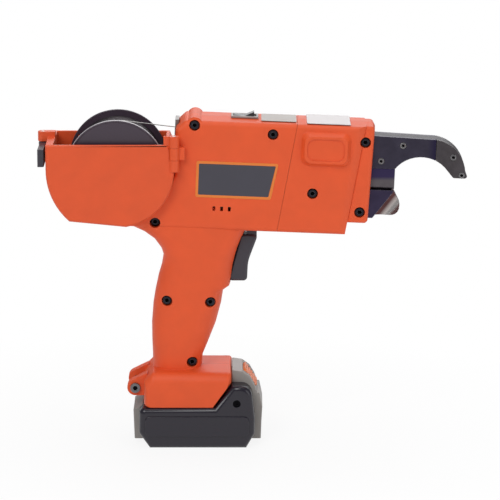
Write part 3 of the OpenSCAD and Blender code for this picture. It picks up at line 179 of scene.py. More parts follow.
bpy.ops.object.select_all(action="DESELECT")
bpy.ops.mesh.primitive_plane_add(size=floor_size, location=(0, 0, 0))
floor = bpy.context.object
floor.name = "floor"
bpy.ops.object.mode_set(mode="EDIT")
bpy.ops.mesh.subdivide(number_cuts=floor_cuts)
bpy.ops.object.mode_set(mode="OBJECT")
paper = Finish("white_paper")
paper.feed(Base_Color=colour(236, 236, 236), Roughness=paper_rough)
distance = paper.node("ShaderNodeVectorMath", {"operation": "LENGTH"}, {0: paper.place()}, out="Value")
camera_ray = paper.node("ShaderNodeLightPath", out="Is Camera Ray")
glossy_ray = paper.node("ShaderNodeLightPath", out="Is Glossy Ray")
glow = paper.node("ShaderNodeEmission", sockets={"Color": pure_white, "Strength": 1.0})
seen = paper.node("ShaderNodeMath", {"operation": "MAXIMUM"}, {0: camera_ray, 1: glossy_ray})
fade = seen * paper.ramp(distance, fade_start, fade_end)
lit_paper = paper.node("ShaderNodeMixShader", sockets={
    0: own_light * seen + own_light_added * fade, 1: Val(paper, paper.shader.outputs[0]), 2: glow})
paper.tree.links.new(lit_paper.socket, paper.tree.nodes["Material Output"].inputs["Surface"])
floor.data.materials.append(paper.material)

# The world lights the tool a little and shows white behind it.
sky_tone = (0.95, 0.97, 1.0, 1)
sky_strength = 0.32

world = bpy.data.worlds.new("studio")
world.use_nodes = True
bpy.context.scene.world = world
air = world.node_tree
sky = air.nodes["Background"]
sky.inputs["Color"].default_value = sky_tone
sky.inputs["Strength"].default_value = sky_strength
backdrop = air.nodes.new("ShaderNodeBackground")
backdrop.inputs["Color"].default_value = pure_white
backdrop.inputs["Strength"].default_value = 1.0
rays = air.nodes.new("ShaderNodeLightPath")
choice = air.nodes.new("ShaderNodeMixShader")
air.links.new(rays.outputs["Is Camera Ray"], choice.inputs[0])
air.links.new(sky.outputs[0], choice.inputs[1])
air.links.new(backdrop.outputs[0], choice.inputs[2])
air.links.new(choice.outputs[0], air.nodes["World Output"].inputs["Surface"])

# Each lamp's place, its width in metres and its power in watts.
lamps = {
    "key": ((-0.7, -1.5, 1.5), 1.0, 17),
    "fill": ((1.4, -1.2, 0.7), 1.2, 7),
    "top": ((0.1, 0.2, 1.9), 1.4, 9.5),
    "back": ((0.2, 1.6, 0.9), 1.2, 8),
}
for name, (spot, size, power) in lamps.items():
    lamp_data = bpy.data.lights.new(name, "AREA")
    lamp_data.size = size
    lamp_data.energy = power
    lamp = bpy.data.objects.new(name, lamp_data)
    lamp.location = spot
    lamp.rotation_euler = (camera_aim - Vector(spot)).to_track_quat("-Z", "Y").to_euler()
    bpy.context.scene.collection.objects.link(lamp)


# Body shells
# Two halves of glass-filled nylon with a satin grain, screwed together on the mid-plane, where a fine
# dark line shows. The nose is a second pair that meets them at a slanted seam.
def only(piece):
    """Leaves one piece selected and active."""
    bpy.ops.object.select_all(action="DESELECT")
    bpy.context.view_layer.objects.active = piece
    piece.select_set(True)


def copy_of(node, name):
    """A copy of a CAD node with its corners merged, free to be worked on."""
    merge_reach = 2e-6
    piece = bpy.data.objects.new(name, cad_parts[node].data.copy())
    piece.data.name = name
    piece.data.materials.clear()
    bpy.context.scene.collection.objects.link(piece)
    only(piece)
    if piece.data.has_custom_normals:
        bpy.ops.mesh.customdata_custom_splitnormals_clear()
    bpy.ops.object.mode_set(mode="EDIT")
    bpy.ops.mesh.select_all(action="SELECT")
    bpy.ops.mesh.remove_doubles(threshold=merge_reach)
    bpy.ops.object.mode_set(mode="OBJECT")
    return piece


def smooth(piece, angle=35):
    """Smooth shading across every edge flatter than the angle, with the large flats kept flat."""
    only(piece)
    bpy.ops.object.shade_smooth_by_angle(angle=math.radians(angle))
    weighted = piece.modifiers.new("weighted", "WEIGHTED_NORMAL")
    weighted.keep_sharp = True
    bpy.ops.object.modifier_apply(modifier="weighted")


def crisp(piece, width):
    """Flat faces cleaned of their triangles, and every sharp edge broken by a small bevel."""
    flat_angle, sharp_angle = math.radians(1), math.radians(30)
    only(piece)
    bpy.ops.object.mode_set(mode="EDIT")
    bpy.ops.mesh.select_all(action="SELECT")
    bpy.ops.mesh.dissolve_limited(angle_limit=flat_angle)
    bpy.ops.object.mode_set(mode="OBJECT")
    edge = piece.modifiers.new("edge", "BEVEL")
    edge.width = width
    edge.segments = 2
    edge.limit_method = "ANGLE"
    edge.angle_limit = sharp_angle
    edge.use_clamp_overlap = False
    bpy.ops.object.modifier_apply(modifier="edge")
    smooth(piece)


def fit_out(piece, body, slot, finish, *nodes):
    """Hands a finished piece over: its material, the body it moves with and what it stands for. The slot is
    not used.
    """
    if finish:
        piece.data.materials.append(finish)
    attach(piece, body)
    if nodes:
        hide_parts(*nodes)


def remade(node, ending, body, slot, finish, edge=0.0, angle=35):
    """A CAD node's copy, handed over: its sharp edges broken if a width is given, or else only smoothed."""
    piece = copy_of(node, node + "_" + ending)
    if edge:
        crisp(piece, edge)
    else:
        smooth(piece, angle)
    fit_out(piece, body, slot, finish, node)
    return piece


def shade(tone, factor, lift=0.0):
    """A tone made darker or paler."""
    return tuple(min(1, factor * part + lift) for part in tone[:3]) + (1,)


def moulded(name, tone, grain=0.25, gloss=0.42, parting=False):
    """Moulded nylon: a fine spark-eroded grain, faint mottling, slightly polished edges and, where two
    halves meet, a dark line on the mid-plane."""
    mottle_scale, mottle_low, mottle_high, mottle_dark, mottle_rough = 60, 0.3, 0.7, 0.93, 0.1
    grain_scale, grain_deep = 5200, 0.00012
    rub_reach, rub_share, rub_pale, rub_lift, rub_polish = 0.0012, 0.45, 1.25, 0.02, 0.08
    line_core, line_end, line_share, line_dark = 0.0001, 0.00022, 0.7, 0.12
    corner_r = 0.0006
    plastic = Finish(name)
    cloud = plastic.noise(mottle_scale, 3)
    pits = plastic.noise(grain_scale, 1)
    rub = plastic.edges(rub_reach)
    base = plastic.between(plastic.ramp(cloud, mottle_low, mottle_high), shade(tone, mottle_dark), tone)
    base = plastic.between(rub_share * rub, base, shade(tone, rub_pale, rub_lift))
    if parting:
        across = plastic.node("ShaderNodeSeparateXYZ", sockets={0: plastic.place()}, out="Y")
        from_middle = plastic.node("ShaderNodeMath", {"operation": "ABSOLUTE"}, {0: across})
        line = 1 - plastic.ramp(from_middle, line_core, line_end)
        base = plastic.between(line_share * line, base, shade(tone, line_dark))
    plastic.feed(
        Base_Color=base,
        Roughness=gloss + mottle_rough * cloud - rub_polish * rub,
        Normal=plastic.bump(pits, grain, grain_deep, plastic.rounded(corner_r)))
    return plastic.material


body_orange = moulded("body_orange", colour(236, 88, 36), gloss=0.48, parting=True)
for node in ("housing_left", "housing_right", "nose_left", "nose_right"):
    remade(node, "shell", "tool", "body_orange", body_orange)


# Side label
# A sheet-metal plate glued to the near side: a pressed frame in gold orange round a slate field.
# The print that it had is left off, so the field is bare.
square_on = 0.9  # a direction counts as along an axis from this cosine on
barrel_tilt = math.radians(2.25)
barrel_height = 0.2205
label_back, label_front = -0.001, 0.0638
label_foot, label_head = -0.0173, 0.0119
label_near, label_far = -0.02325, -0.0229
label_slant = 0.0051
label_corner, bed_corner = 0.0016, 0.0008
label_frame = 0.0021
label_bed = label_near + 0.00015
bed_reach = 0.00005
cut_over = 0.001


def block(name, low, high):
    """A cube drawn out to the box between two corners."""
    bpy.ops.object.select_all(action="DESELECT")
    low, high = Vector(low), Vector(high)
    bpy.ops.mesh.primitive_cube_add(size=1, location=(low + high) / 2, scale=high - low)
    piece = bpy.context.object
    piece.name = piece.data.name = name
    bpy.ops.object.transform_apply(location=True, rotation=True, scale=True)
    return piece


def pick(piece, test, kind="FACE"):
    """Goes into edit mode with those faces, edges or corners selected that pass a test. The test gets the
    middle and the direction of each."""
    mesh = piece.data
    only(piece)
    bpy.context.tool_settings.mesh_select_mode = (kind == "VERT", kind == "EDGE", kind == "FACE")
    for part in (mesh.vertices, mesh.edges, mesh.polygons):
        part.foreach_set("select", [False] * len(part))
    if kind == "FACE":
        for face in mesh.polygons:
            face.select = bool(test(face.center, face.normal))
    elif kind == "EDGE":
        for edge in mesh.edges:
            start, end = (mesh.vertices[i].co for i in edge.vertices)
            edge.select = bool(test((start + end) / 2, (end - start).normalized()))
    else:
        for corner in mesh.vertices:
            corner.select = bool(test(corner.co, corner.normal))
    bpy.ops.object.mode_set(mode="EDIT")


def round_corners(piece, axis, radius, segments):
    """Rounds the edges that run along one axis, 0 to 2."""
    pick(piece, lambda middle, along: abs(along[axis]) > square_on, "EDGE")
    bpy.ops.mesh.bevel(offset=radius, segments=segments)
    bpy.ops.object.mode_set(mode="OBJECT")


def paint(piece, finish, test):
    """Gives the faces that pass a test a second finish."""
    piece.data.materials.append(finish)
    pick(piece, test)
    piece.active_material_index = 1
    bpy.ops.object.material_slot_assign()
    bpy.ops.object.mode_set(mode="OBJECT")


def cut(piece, cutter):
    """Takes the cutter's shape out of a piece."""
    only(piece)
    knife = piece.modifiers.new("cut", "BOOLEAN")
    knife.operation = "DIFFERENCE"
    knife.solver = "EXACT"
    knife.object = cutter
    bpy.ops.object.modifier_apply(modifier="cut")
    bpy.data.objects.remove(cutter)


def along_barrel(piece):
    """Moves a piece that was drawn about the origin into the barrel's tilted frame."""
    only(piece)
    piece.rotation_euler = (0, barrel_tilt, 0)
    piece.location = (0, 0, barrel_height)
    bpy.ops.object.transform_apply(location=True, rotation=True, scale=True)


def label_sheet(name, near, far, margin, corner):
    """A sheet in the label's outline between two depths, drawn in by a margin, its front edge slanted."""
    piece = block(name, (label_back + margin, near, label_foot + margin),
                  (label_front - margin, far, label_head - margin))
    pick(piece, lambda spot, out: spot.x > (label_back + label_front) / 2 and spot.z < 0, "VERT")
    bpy.ops.transform.translate(value=(-label_slant, 0, 0))
    bpy.ops.object.mode_set(mode="OBJECT")
    round_corners(piece, axis=1, radius=corner, segments=5)
    return piece


label = label_sheet("side_label", label_near, label_far, margin=0, corner=label_corner)
cut(label, label_sheet("label_bed", label_near - cut_over, label_bed, margin=label_frame, corner=bed_corner))
label.data.materials.clear()
label.data.materials.append(moulded("label_frame", colour(236, 128, 48), grain=0.05, gloss=0.3))
paint(label, moulded("label_field", colour(66, 64, 74), grain=0.04, gloss=0.32),
      lambda middle, out: out.y < -square_on and middle.y > label_bed - bed_reach)
along_barrel(label)
smooth(label, angle=20)
fit_out(label, "tool", "black_plastic", None)


# Top plates
# Two thin sheets let into the barrel's top: a grey one behind the seam and a pale one on the nose.
# Their print is left off.
barrel_top = 0.0444
plate_sunk = 0.0001


def thin_plate(name, start, end, half_width, proud, corner, finish):
    """A thin plate with rounded corners and a softened rim, let into the barrel's top."""
    rim, slope, dish = 0.0004, 0.0005, 0.00005
    piece = block(name, (start, -half_width, barrel_top - plate_sunk), (end, half_width, barrel_top + proud))
    round_corners(piece, axis=2, radius=corner, segments=5)
    pick(piece, lambda middle, out: out.z > square_on)
    bpy.ops.mesh.inset(thickness=rim)
    bpy.ops.mesh.inset(thickness=slope)
    bpy.ops.transform.translate(value=(0, 0, -dish))
    bpy.ops.object.mode_set(mode="OBJECT")
    along_barrel(piece)
    smooth(piece)
    fit_out(piece, "tool", "battery_grey", finish)


grey_film = moulded("grey_film", colour(158, 148, 140), grain=0.05, gloss=0.35)
pale_film = moulded("pale_film", colour(196, 188, 188), grain=0.03, gloss=0.3)
thin_plate("rear_top_plate", start=0.0489, end=0.0765, half_width=0.0152, proud=0.0002, corner=0.001,
           finish=grey_film)
thin_plate("nose_top_plate", start=0.0848, end=0.1192, half_width=0.0196, proud=0.0003, corner=0.0012,
           finish=pale_film)


# Magazine
# A bucket of the same nylon as the body, moulded in one with its latch lug, and a flat door on its
# near side. The door's two knuckles turn on a steel pin held by a lug of the body.
magazine_orange = moulded("magazine_orange", colour(232, 87, 38), grain=0.2, gloss=0.44)
remade("magazine_tray", "shell", "tool", "magazine_orange", magazine_orange, edge=0.0005)
remade("magazine_door", "shell", "door", "magazine_orange", magazine_orange)


# Turned pins
# Steel pins cut from bright bar, with chamfered ends: the door's hinge pin, in a lug of the body, and
# the latch's pin, in the tray's lug.
def metal(name, tone, worn, rough, streak=(1, 1, 1), wear=0.7, tint=None):
    """A worked metal: tool marks drawn out along one way, a cloudy oxide and edges rubbed bright.
    A tint is a second tone that comes in along a direction, from one place to another."""
    mark_scale, mark_strength, mark_deep, mark_rough = 1400, 0.08, 0.00006, 0.14
    cloud_scale, cloud_low, cloud_high, cloud_dark, cloud_rough = 140, 0.35, 0.7, 0.8, 0.08
    patch_scale, patch_low, patch_high = 700, 0.35, 0.6
    rub_reach, rub_polish = 0.0007, 0.12
    corner_r = 0.0003
    steel = Finish(name)
    drawn = steel.node("ShaderNodeMapping", sockets={"Vector": steel.place(), "Scale": streak})
    marks = steel.noise(mark_scale, 2, drawn)
    cloud = steel.noise(cloud_scale, 4)
    rub = steel.edges(rub_reach) * steel.ramp(steel.noise(patch_scale, 3), patch_low, patch_high)
    base = steel.between(steel.ramp(cloud, cloud_low, cloud_high), shade(tone, cloud_dark), tone)
    if tint:
        direction, start, end, tint_tone = tint
        base = steel.between(steel.ramp(steel.along(steel.place(), direction), start, end), base, tint_tone)
    steel.feed(
        Base_Color=steel.between(wear * rub, base, worn),
        Metallic=1.0,
        Roughness=rough + mark_rough * marks + cloud_rough * cloud - rub_polish * rub,
        Normal=steel.bump(marks, mark_strength, mark_deep, steel.rounded(corner_r)))
    return steel.material


bright_steel = metal("bright_steel", colour(196, 194, 190), colour(225, 224, 220), rough=0.24,
                     streak=(1, 1, 6))
for node in ("door_hinge_pin", "latch_pin"):
    remade(node, "turned", "tool", "bright_steel", bright_steel, edge=0.0002)


# Latch
# A black lever moulded in nylon that turns on the pin in the tray's lug and reaches along the back wall
# towards the door's free edge.
black_plastic = moulded("black_plastic", colour(58, 54, 62), grain=0.22, gloss=0.4)
remade("latch_lever", "moulded", "latch", "black_plastic", black_plastic, edge=0.0004)


# Wire spool
# A styrene reel: two plain flanges with a thickened rim on a hollow hub, and a small hole in each
# flange where the wire starts. It runs on a headed axle.
spool_x, spool_z = -0.064, 0.226
spool_half = 0.025
spool_steps = 128
flange_thick = 0.002
flange_r = 0.039
hub_r = 0.020
bore_r = 0.00605
rim_wide, rim_proud = 0.0014, 0.0002
edge_break = 0.0003
draft = 0.0004
face_sunk = 0.0004
well_r, well_deep, well_corner = hub_r - 0.002, 0.0036, 0.0005
collar_r = bore_r + 0.0031
start_hole_r, start_hole_long = 0.001, 0.06
start_hole_x, start_hole_z = spool_x - 0.8 * flange_r, spool_z + 0.45 * flange_r
# Width and lean of the painted highlight on the near flange's rim.
highlight_band_wide, highlight_lean = 0.0004, 0.85


def turned(name, x, z, profile, steps):
    """A lathe piece about an axis along Y: one corner drawn along (place on the axis, radius), then spun."""
    start_size, merge_reach = 0.001, 1e-6
    bpy.ops.object.select_all(action="DESELECT")
    along, out = profile[0]
    bpy.ops.mesh.primitive_plane_add(size=start_size, location=(x + out, along, z))
    piece = bpy.context.object
    piece.name = piece.data.name = name
    bpy.ops.object.transform_apply(location=True, rotation=True, scale=True)
    bpy.context.tool_settings.mesh_select_mode = (True, False, False)
    bpy.ops.object.mode_set(mode="EDIT")
    bpy.ops.mesh.select_all(action="SELECT")
    bpy.ops.mesh.merge(type="CENTER")
    for (along, out), (next_along, next_out) in zip(profile, profile[1:]):
        bpy.ops.mesh.extrude_region_move(
            TRANSFORM_OT_translate={"value": (next_out - out, next_along - along, 0)})
    bpy.ops.mesh.select_all(action="SELECT")
    bpy.ops.mesh.spin(steps=steps, angle=2 * math.pi, center=(x, 0, z), axis=(0, 1, 0))
    bpy.ops.mesh.select_all(action="SELECT")
    bpy.ops.mesh.remove_doubles(threshold=merge_reach)
    bpy.ops.mesh.normals_make_consistent(inside=False)
    bpy.ops.object.mode_set(mode="OBJECT")
    return piece


outer = spool_half
inner = spool_half - flange_thick
far_half = [
    (inner, hub_r),
    (inner, flange_r - 2 * rim_wide),
    (inner - rim_proud, flange_r - rim_wide),
    (inner - rim_proud, flange_r - edge_break),
    (inner - rim_proud + edge_break, flange_r),
    (outer - edge_break, flange_r),
    (outer, flange_r - edge_break),
    (outer, flange_r - rim_wide),
    (outer - face_sunk, flange_r - 1.3 * rim_wide),
    (outer - face_sunk, well_r + draft),
    (outer - well_deep, well_r),
    (outer - well_deep - edge_break, well_r - well_corner),
    (outer - well_deep - edge_break, collar_r + edge_break),
    (outer - well_deep, collar_r),
    (outer - 2 * edge_break, collar_r - edge_break),
    (outer - edge_break, collar_r - 2 * edge_break),
    (outer - edge_break, bore_r + draft),
    (outer - edge_break - draft, bore_r),
]
near_half = [(-along, out) for along, out in reversed(far_half)]
spool = turned("wire_spool_moulded", spool_x, spool_z, far_half + near_half + far_half[:1], spool_steps)
bpy.ops.object.select_all(action="DESELECT")
bpy.ops.mesh.primitive_cylinder_add(vertices=24, radius=start_hole_r, depth=start_hole_long,
                                    rotation=(math.pi / 2, 0, 0), location=(start_hole_x, 0, start_hole_z))
cut(spool, bpy.context.object)
smooth(spool, angle=30)
spool_plastic = moulded("spool_plastic", colour(66, 54, 66), grain=0.06, gloss=0.26)
fit_out(spool, "spool", "spool_plastic", spool_plastic, "wire_spool")
# The near flange's outward rim gets a pale tone, a painted highlight that the far flange's rim lacks.
paint(spool, moulded("rim_painted_highlight", colour(188, 182, 186), grain=0.02, gloss=0.16),
      lambda middle, out: middle.y < -inner and abs(out.y) < highlight_lean
      and math.hypot(middle.x - spool_x, middle.z - spool_z) > flange_r - highlight_band_wide)
remade("spool_axle", "moulded", "tool", "black_plastic", black_plastic, edge=0.0004)


# Wound wire
# Annealed tie wire, 0.8 mm thick, laid side by side over the layers below. One circle is screwed along
# the spool's axis for the outer layer, and a turned drum stands for the layers under it.
wire_r = 0.0004
wire_sides = 8
wire_pitch = 0.00084
wound_r = 0.034
drum_r = wound_r - 1.9 * wire_r
wind_half = inner - 0.0003
core_r = hub_r + 0.0001
layer_loops = int(2 * (wind_half - wire_r) / wire_pitch)
loop_steps = 80


def joined(pieces, name):
    """Joins pieces into the first of them."""
    only(pieces[0])
    for piece in pieces[1:]:
        piece.select_set(True)
    bpy.ops.object.join()
    pieces[0].name = pieces[0].data.name = name
    return pieces[0]


bpy.ops.object.select_all(action="DESELECT")
bpy.ops.mesh.primitive_circle_add(vertices=wire_sides, radius=wire_r, location=(spool_x, 0, spool_z))
coil = bpy.context.object
bpy.ops.object.mode_set(mode="EDIT")
bpy.ops.mesh.select_all(action="SELECT")
bpy.ops.transform.translate(value=(wound_r - wire_r, -layer_loops * wire_pitch / 2, 0))
bpy.ops.object.mode_set(mode="OBJECT")
helix = coil.modifiers.new("helix", "SCREW")
helix.axis = "Y"
helix.angle = 2 * math.pi
helix.screw_offset = wire_pitch
helix.iterations = layer_loops
helix.steps = loop_steps
helix.render_steps = loop_steps
helix.use_normal_calculate = True
bpy.ops.object.modifier_apply(modifier="helix")
bpy.ops.object.transform_apply(location=True, rotation=True, scale=True)
drum_start = (-wind_half, core_r)
drum_profile = [drum_start, (-wind_half, drum_r), (wind_half, drum_r), (wind_half, core_r), drum_start]
drum = turned("wire_layers", spool_x, spool_z, drum_profile, loop_steps)
winding = joined([coil, drum], "wire_winding_coil")
smooth(winding, angle=60)
# The wound wire gets a much darker tone than the same wire in the feed run: painted shade for the hollow
# between the flanges.
wound_wire_painted_shade = metal("wound_wire_painted_shade", colour(74, 68, 72), colour(140, 136, 132), rough=0.36, wear=0.2)
fit_out(winding, "spool", "tie_wire", wound_wire_painted_shade, "wire_winding")


# Feed wire and inlet
# The wire leaves the top of the winding and runs through a hardened guide at the back of the barrel,
# a ground block with a tube, on to the feed wheels.
# The feed run's tone is much paler than the wound wire's: a painted highlight on the same wire.
feed_wire_painted_light = metal("feed_wire_painted_light", colour(188, 185, 182), colour(220, 218, 214), rough=0.18, streak=(1, 8, 8),
                   wear=0.2)
inlet_steel = metal("inlet_steel", colour(150, 146, 144), colour(215, 212, 208), rough=0.34, streak=(1, 6, 1),
                    wear=0.6)
remade("feed_wire", "drawn", "tool", "tie_wire", feed_wire_painted_light, angle=60)
remade("wire_inlet", "ground", "tool", "bright_steel", inlet_steel, edge=0.0003)


# Cap screws
# Black oxide socket screws hold the shells, and bare steel ones the jaw. One is turned for each of the
# two sizes, with a knurled head, and copied to the places of the CAD screws. The lanyard's bolt and the
# battery's screws are the CAD ones with broken edges.
black_oxide = metal("black_oxide", colour(52, 52, 58), colour(140, 140, 142), rough=0.3, wear=0.7)
screw_steel = metal("screw_steel", colour(122, 120, 122), colour(205, 203, 200), rough=0.3, wear=0.8)
# A near-black tone: painted shade inside the screws' sockets, and the battery's dark screws made wholly in
# it.
socket_shade_and_dark_screws = metal("socket_shade_and_dark_screws", colour(24, 23, 26), colour(60, 60, 62), rough=0.5, wear=0.3)
screw_steps = 48
bolt_socket_r, bolt_socket_deep, bolt_socket_lip = 0.0022, 0.003, 0.0001


def heads(node):
    """The middle of each head's top in a CAD node whose screws point along +Y, and the shortest length."""
    copy_of(node, "probe")
    bpy.ops.object.mode_set(mode="EDIT")
    bpy.ops.mesh.select_all(action="SELECT")
    bpy.ops.mesh.separate(type="LOOSE")
    bpy.ops.object.mode_set(mode="OBJECT")
    boxes = []
    for part in list(bpy.context.selected_objects):
        spots = [corner.co for corner in part.data.vertices]
        boxes.append([Vector(end(spot[k] for spot in spots) for k in range(3)) for end in (min, max)])
        bpy.data.objects.remove(part)
    boxes.sort(key=lambda box: (box[0].x, box[0].z))
    tops = [Vector(((low.x + high.x) / 2, low.y, (low.z + high.z) / 2)) for low, high in boxes]
    return tops, min(high.y - low.y for low, high in boxes)


def socket_screw(head_r, head_h, shank_r, length, key_r, finish):
    """A socket screw with its head's top at the origin, its shank along +Y and painted shade in its socket.
    """
    rim = 0.12 * head_r
    groove_margin, groove_deep = 0.08 * rim, 0.3 * rim
    socket_deep, socket_lip = 0.65 * head_h, 0.00001
    screw = turned("screw", 0, 0, [
        (0, 0), (0, head_r - 1.6 * rim), (0.3 * rim, head_r - 0.6 * rim), (rim, head_r),
        (head_h - 0.4 * rim, head_r), (head_h, head_r - 0.4 * rim), (head_h, shank_r + 0.2 * rim),
        (head_h + 0.3 * rim, shank_r), (length - shank_r / 2, shank_r), (length, 0.6 * shank_r), (length, 0)],
        screw_steps)

    def spot_name(spot):
        return tuple(round(part, 6) for part in spot)

    sides = [face for face in screw.data.polygons if abs(face.normal.y) < 0.1
             and math.hypot(face.center.x, face.center.z) > 0.9 * head_r]
    sides.sort(key=lambda face: math.atan2(face.center.z, face.center.x))
    grooves = {spot_name(face.center) for face in sides[::2]}
    pick(screw, lambda middle, out: spot_name(middle) in grooves)
    bpy.ops.mesh.inset(thickness=groove_margin, use_individual=True)
    bpy.ops.mesh.extrude_faces_move(TRANSFORM_OT_shrink_fatten={"value": -groove_deep})
    bpy.ops.object.mode_set(mode="OBJECT")
    bpy.ops.object.select_all(action="DESELECT")
    bpy.ops.mesh.primitive_cylinder_add(vertices=6, radius=key_r, depth=2 * socket_deep,
                                        rotation=(math.pi / 2, math.pi / 6, 0), location=(0, 0, 0))
    cut(screw, bpy.context.object)
    screw.data.materials.clear()
    screw.data.materials.append(finish)
    # The socket's inside is painted near black, as shade.
    paint(screw, socket_shade_and_dark_screws, lambda middle, out: socket_lip < middle.y < socket_deep + socket_lip
          and math.hypot(middle.x, middle.z) < key_r)
    return screw


def copies(model, name, places):
    """Copies of a screw, each with its own mesh, set at their places and joined."""
    made = []
    for place in places:
        only(model)
        bpy.ops.object.duplicate(linked=False)
        twin = bpy.context.object
        twin.location = place
        bpy.ops.object.transform_apply(location=True, rotation=True, scale=True)
        made.append(twin)
    bpy.data.objects.remove(model)
    group = joined(made, name)
    smooth(group, angle=30)
    return group


tops, length = heads("housing_screws")
shell_screw = socket_screw(head_r=0.0035, head_h=0.004, shank_r=0.002, length=length, key_r=0.0018,
                           finish=black_oxide)
shell_screws = copies(shell_screw, "shell_screws", tops)
fit_out(shell_screws, "tool", "dark_screw", None, "housing_screws")
tops, length = heads("arm_screws")
jaw_screw = socket_screw(head_r=0.0026, head_h=0.0016, shank_r=0.0015, length=length, key_r=0.00135,
                         finish=screw_steel)
jaw_screws = copies(jaw_screw, "jaw_screws", tops)
fit_out(jaw_screws, "tool", "dark_screw", None, "arm_screws")

bolt = copy_of("lanyard_screw", "lanyard_bolt_turned")
crisp(bolt, width=0.0003)
fit_out(bolt, "tool", "dark_screw", screw_steel, "lanyard_screw")
bolt_low, bolt_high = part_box("lanyard_screw")
bolt_axis = (bolt_low + bolt_high) / 2
# The bolt's socket is painted near black, as shade.
paint(bolt, socket_shade_and_dark_screws, lambda middle, out: bolt_socket_lip < middle.y - bolt_low.y < bolt_socket_deep
      and math.hypot(middle.x - bolt_axis.x, middle.z - bolt_axis.z) < bolt_socket_r)
remade("battery_screws", "turned", "battery", "dark_screw", socket_shade_and_dark_screws, edge=0.0002)


# Jaw arm
# A milled steel core with the wire's channel between two blued plates, and hardened tip plates in a
# browner finish beyond the joint. All four plates are screwed to the core.
joint_start, joint_end = 0.182, 0.189
joint_tint = ((1, 0, 0), joint_start, joint_end, colour(44, 38, 66))
blued = metal("blued_steel", colour(70, 66, 80), colour(150, 148, 150), rough=0.34, streak=(2, 2, 10),
              wear=0.6, tint=joint_tint)
tip_brown = metal("tip_steel", colour(88, 83, 86), colour(160, 156, 150), rough=0.36, streak=(2, 2, 10),
                  wear=0.6)
milled = metal("milled_steel", colour(70, 67, 72), colour(205, 202, 196), rough=0.4, streak=(8, 1, 1),
               wear=0.4)
jaw_pieces = {
    "arm_core": (milled, "bright_steel"),
    "arm_plate_left": (blued, "blued_steel"),
    "arm_plate_right": (blued, "blued_steel"),
    "tip_plate_left": (tip_brown, "tip_steel"),
    "tip_plate_right": (tip_brown, "tip_steel"),
}
for node, (finish, slot) in jaw_pieces.items():
    remade(node, "milled", "tool", slot, finish, edge=0.00025)


# Twister nose
# The block that carries the spindle, with painted shade on its top, and under it the guide whose polished
# bowl turns the wire back up; the bowl is painted from dark to near white across it, as shade and a
# highlight. The hook in the block's bore is ground bright.
top_shade_start, top_shade_end = 0.2135, 0.2165
bowl_turn = math.radians(36) + barrel_tilt
bowl_axis = Vector((math.sin(bowl_turn), 0, math.cos(bowl_turn)))
bowl_across = (math.cos(bowl_turn), 0, -math.sin(bowl_turn))
bowl_flat, bowl_margin = 0.06, 0.0004
# Where across the bowl its painted shade turns into a painted highlight.
highlight_start, highlight_end = 0.0, 0.0062

guide_dark = metal("guide_steel", colour(66, 59, 82), colour(190, 186, 182), rough=0.26, wear=0.6)
# The block's upper band is painted darker by height, a painted shade.
block_top_painted_shade = ((0, 0, 1), top_shade_start, top_shade_end, colour(62, 54, 86))
# Across the bowl the tone runs from dark to near white: painted shade and a painted highlight.
bowl_painted_shade_and_highlight = (bowl_across, highlight_start, highlight_end, colour(228, 222, 218))
block_steel = metal("block_steel", colour(106, 100, 104), colour(180, 176, 176), rough=0.36,
                    streak=(2, 2, 10), wear=0.6, tint=block_top_painted_shade)
polished_bowl_painted_light = metal("polished_bowl_painted_light", colour(92, 62, 62), colour(225, 222, 218), rough=0.14, wear=0.2,
                      tint=bowl_painted_shade_and_highlight)
remade("twister_block", "milled", "tool", "blued_steel", block_steel, edge=0.0003)
guide = remade("lower_guide", "milled", "tool", "bright_steel", guide_dark, edge=0.0002)
guide_low, guide_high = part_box("lower_guide")
paint(guide, polished_bowl_painted_light, lambda middle, out: abs(out.dot(bowl_axis)) < bowl_flat
      and guide_low.y + bowl_margin < middle.y < guide_high.y - bowl_margin)
remade("twist_hook", "ground", "twister", "bright_steel", bright_steel, edge=0.0002)


# Trigger and power switch
# A black nylon trigger on its pin, and on the barrel's top a glossy black rocker in a grey frame. The
# rocker's two faces are raised into finger pads.
finger_pad = 0.0013
pad_half = 0.0041
pad_lean = 0.6
barrel_up = Vector((math.sin(barrel_tilt), 0, math.cos(barrel_tilt)))
switch_grey = moulded("switch_grey", colour(152, 146, 142), grain=0.12, gloss=0.36)
rocker_black = moulded("rocker_black", colour(40, 37, 42), grain=0.1, gloss=0.3)

remade("trigger", "moulded", "trigger_body", "black_plastic", black_plastic)
remade("power_switch", "frame", "tool", "battery_grey", switch_grey, edge=0.0003)
rocker = copy_of("power_rocker", "power_rocker_moulded")
rocker_low, rocker_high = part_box("power_rocker")
rocker_middle = (rocker_low + rocker_high) / 2
pick(rocker, lambda middle, out: out.dot(barrel_up) > pad_lean and abs(middle.y) < pad_half
     and middle.z > rocker_middle.z)
bpy.ops.mesh.extrude_region_move(TRANSFORM_OT_translate={"value": finger_pad * barrel_up})
bpy.ops.object.mode_set(mode="OBJECT")
crisp(rocker, width=0.0003)
fit_out(rocker, "rocker_body", "black_plastic", rocker_black, "power_rocker")


# Battery
# A slide pack: a glossy black case with a raised panel on each side, a grey cap over its front slope and
# back, and a ribbed orange button that lets it go. The print on its sides is left off.
panel_proud, panel_seat = 0.0011, 0.002
panel_foot, panel_head = 0.0100, 0.0268
panel_ends = 0.0045
panel_corner, panel_edge = 0.0042, 0.0009
case_black = moulded("battery_black", colour(28, 23, 36), grain=0.07, gloss=0.18)
cap_grey = moulded("battery_grey", colour(150, 145, 140), grain=0.18, gloss=0.38)
button_orange = moulded("button_orange", colour(242, 128, 62), grain=0.12, gloss=0.36)
case_low, case_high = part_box("battery_case")


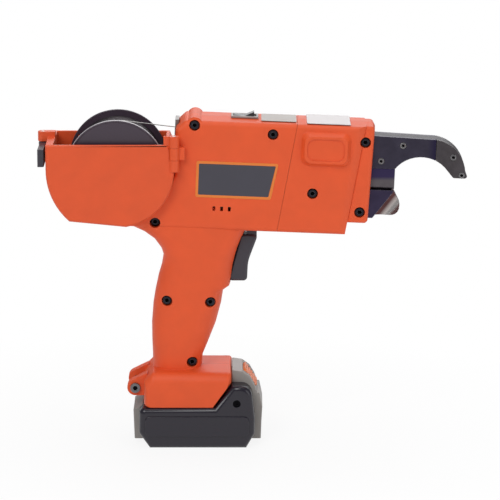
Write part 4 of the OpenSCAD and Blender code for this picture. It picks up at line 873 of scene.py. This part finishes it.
def side_panel(side):
    """The raised panel along one side of the case."""
    face = case_low.y if side < 0 else case_high.y
    near, far = sorted((face + side * panel_proud, face - side * panel_seat))
    panel = block("panel", (case_low.x + panel_ends, near, panel_foot),
                  (case_high.x - panel_ends, far, panel_head))
    round_corners(panel, axis=1, radius=panel_corner, segments=6)
    pick(panel, lambda middle, out: out.y * side > square_on)
    bpy.ops.mesh.bevel(offset=panel_edge, segments=4)
    bpy.ops.object.mode_set(mode="OBJECT")
    return panel


remade("battery_case", "moulded", "battery", "battery_black", case_black)
panels = joined([side_panel(-1), side_panel(1)], "battery_side_panels")
smooth(panels)
fit_out(panels, "battery", "battery_black", case_black)
remade("battery_cover", "moulded", "battery", "battery_grey", cap_grey)
remade("release_button", "moulded", "release", "button_orange", button_orange, edge=0.0003)


# Inside
# What the shells hide: motors in plated cans, a cast gearbox, hobbed gears on ground axles, the circuit
# board, the switch, the pack's cells and its contacts. The CAD solids stay and get their finishes.
def dress(finish, *nodes):
    """Gives CAD nodes that stay as they are a finish."""
    for node in nodes:
        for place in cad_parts[node].material_slots:
            place.material = finish


motor_can = metal("motor_can", colour(120, 120, 122), colour(170, 170, 170), rough=0.3, streak=(1, 12, 12))
cast_metal = metal("cast_metal", colour(170, 170, 172), colour(200, 200, 200), rough=0.45)
gear_steel = metal("gear_steel", colour(160, 160, 162), colour(205, 205, 205), rough=0.3, streak=(1, 10, 1))
board_green = moulded("board_green", colour(38, 104, 66), grain=0.1, gloss=0.25)
cell_wrap = moulded("cell_wrap", colour(60, 118, 168), grain=0.03, gloss=0.25)
tinned_brass = metal("tinned_brass", colour(205, 175, 115), colour(225, 205, 160), rough=0.28)
dress(motor_can, "twist_motor", "feed_motor")
dress(cast_metal, "gearbox_case")
dress(gear_steel, "feed_wheel", "idler_wheel", "feed_pinion")
dress(bright_steel, "feed_axles", "twist_spindle", "spindle_bearing", "trigger_pin")
dress(black_plastic, "trigger_switch")
dress(board_green, "control_board")
dress(cell_wrap, "battery_cells")
dress(tinned_brass, "terminal_block")
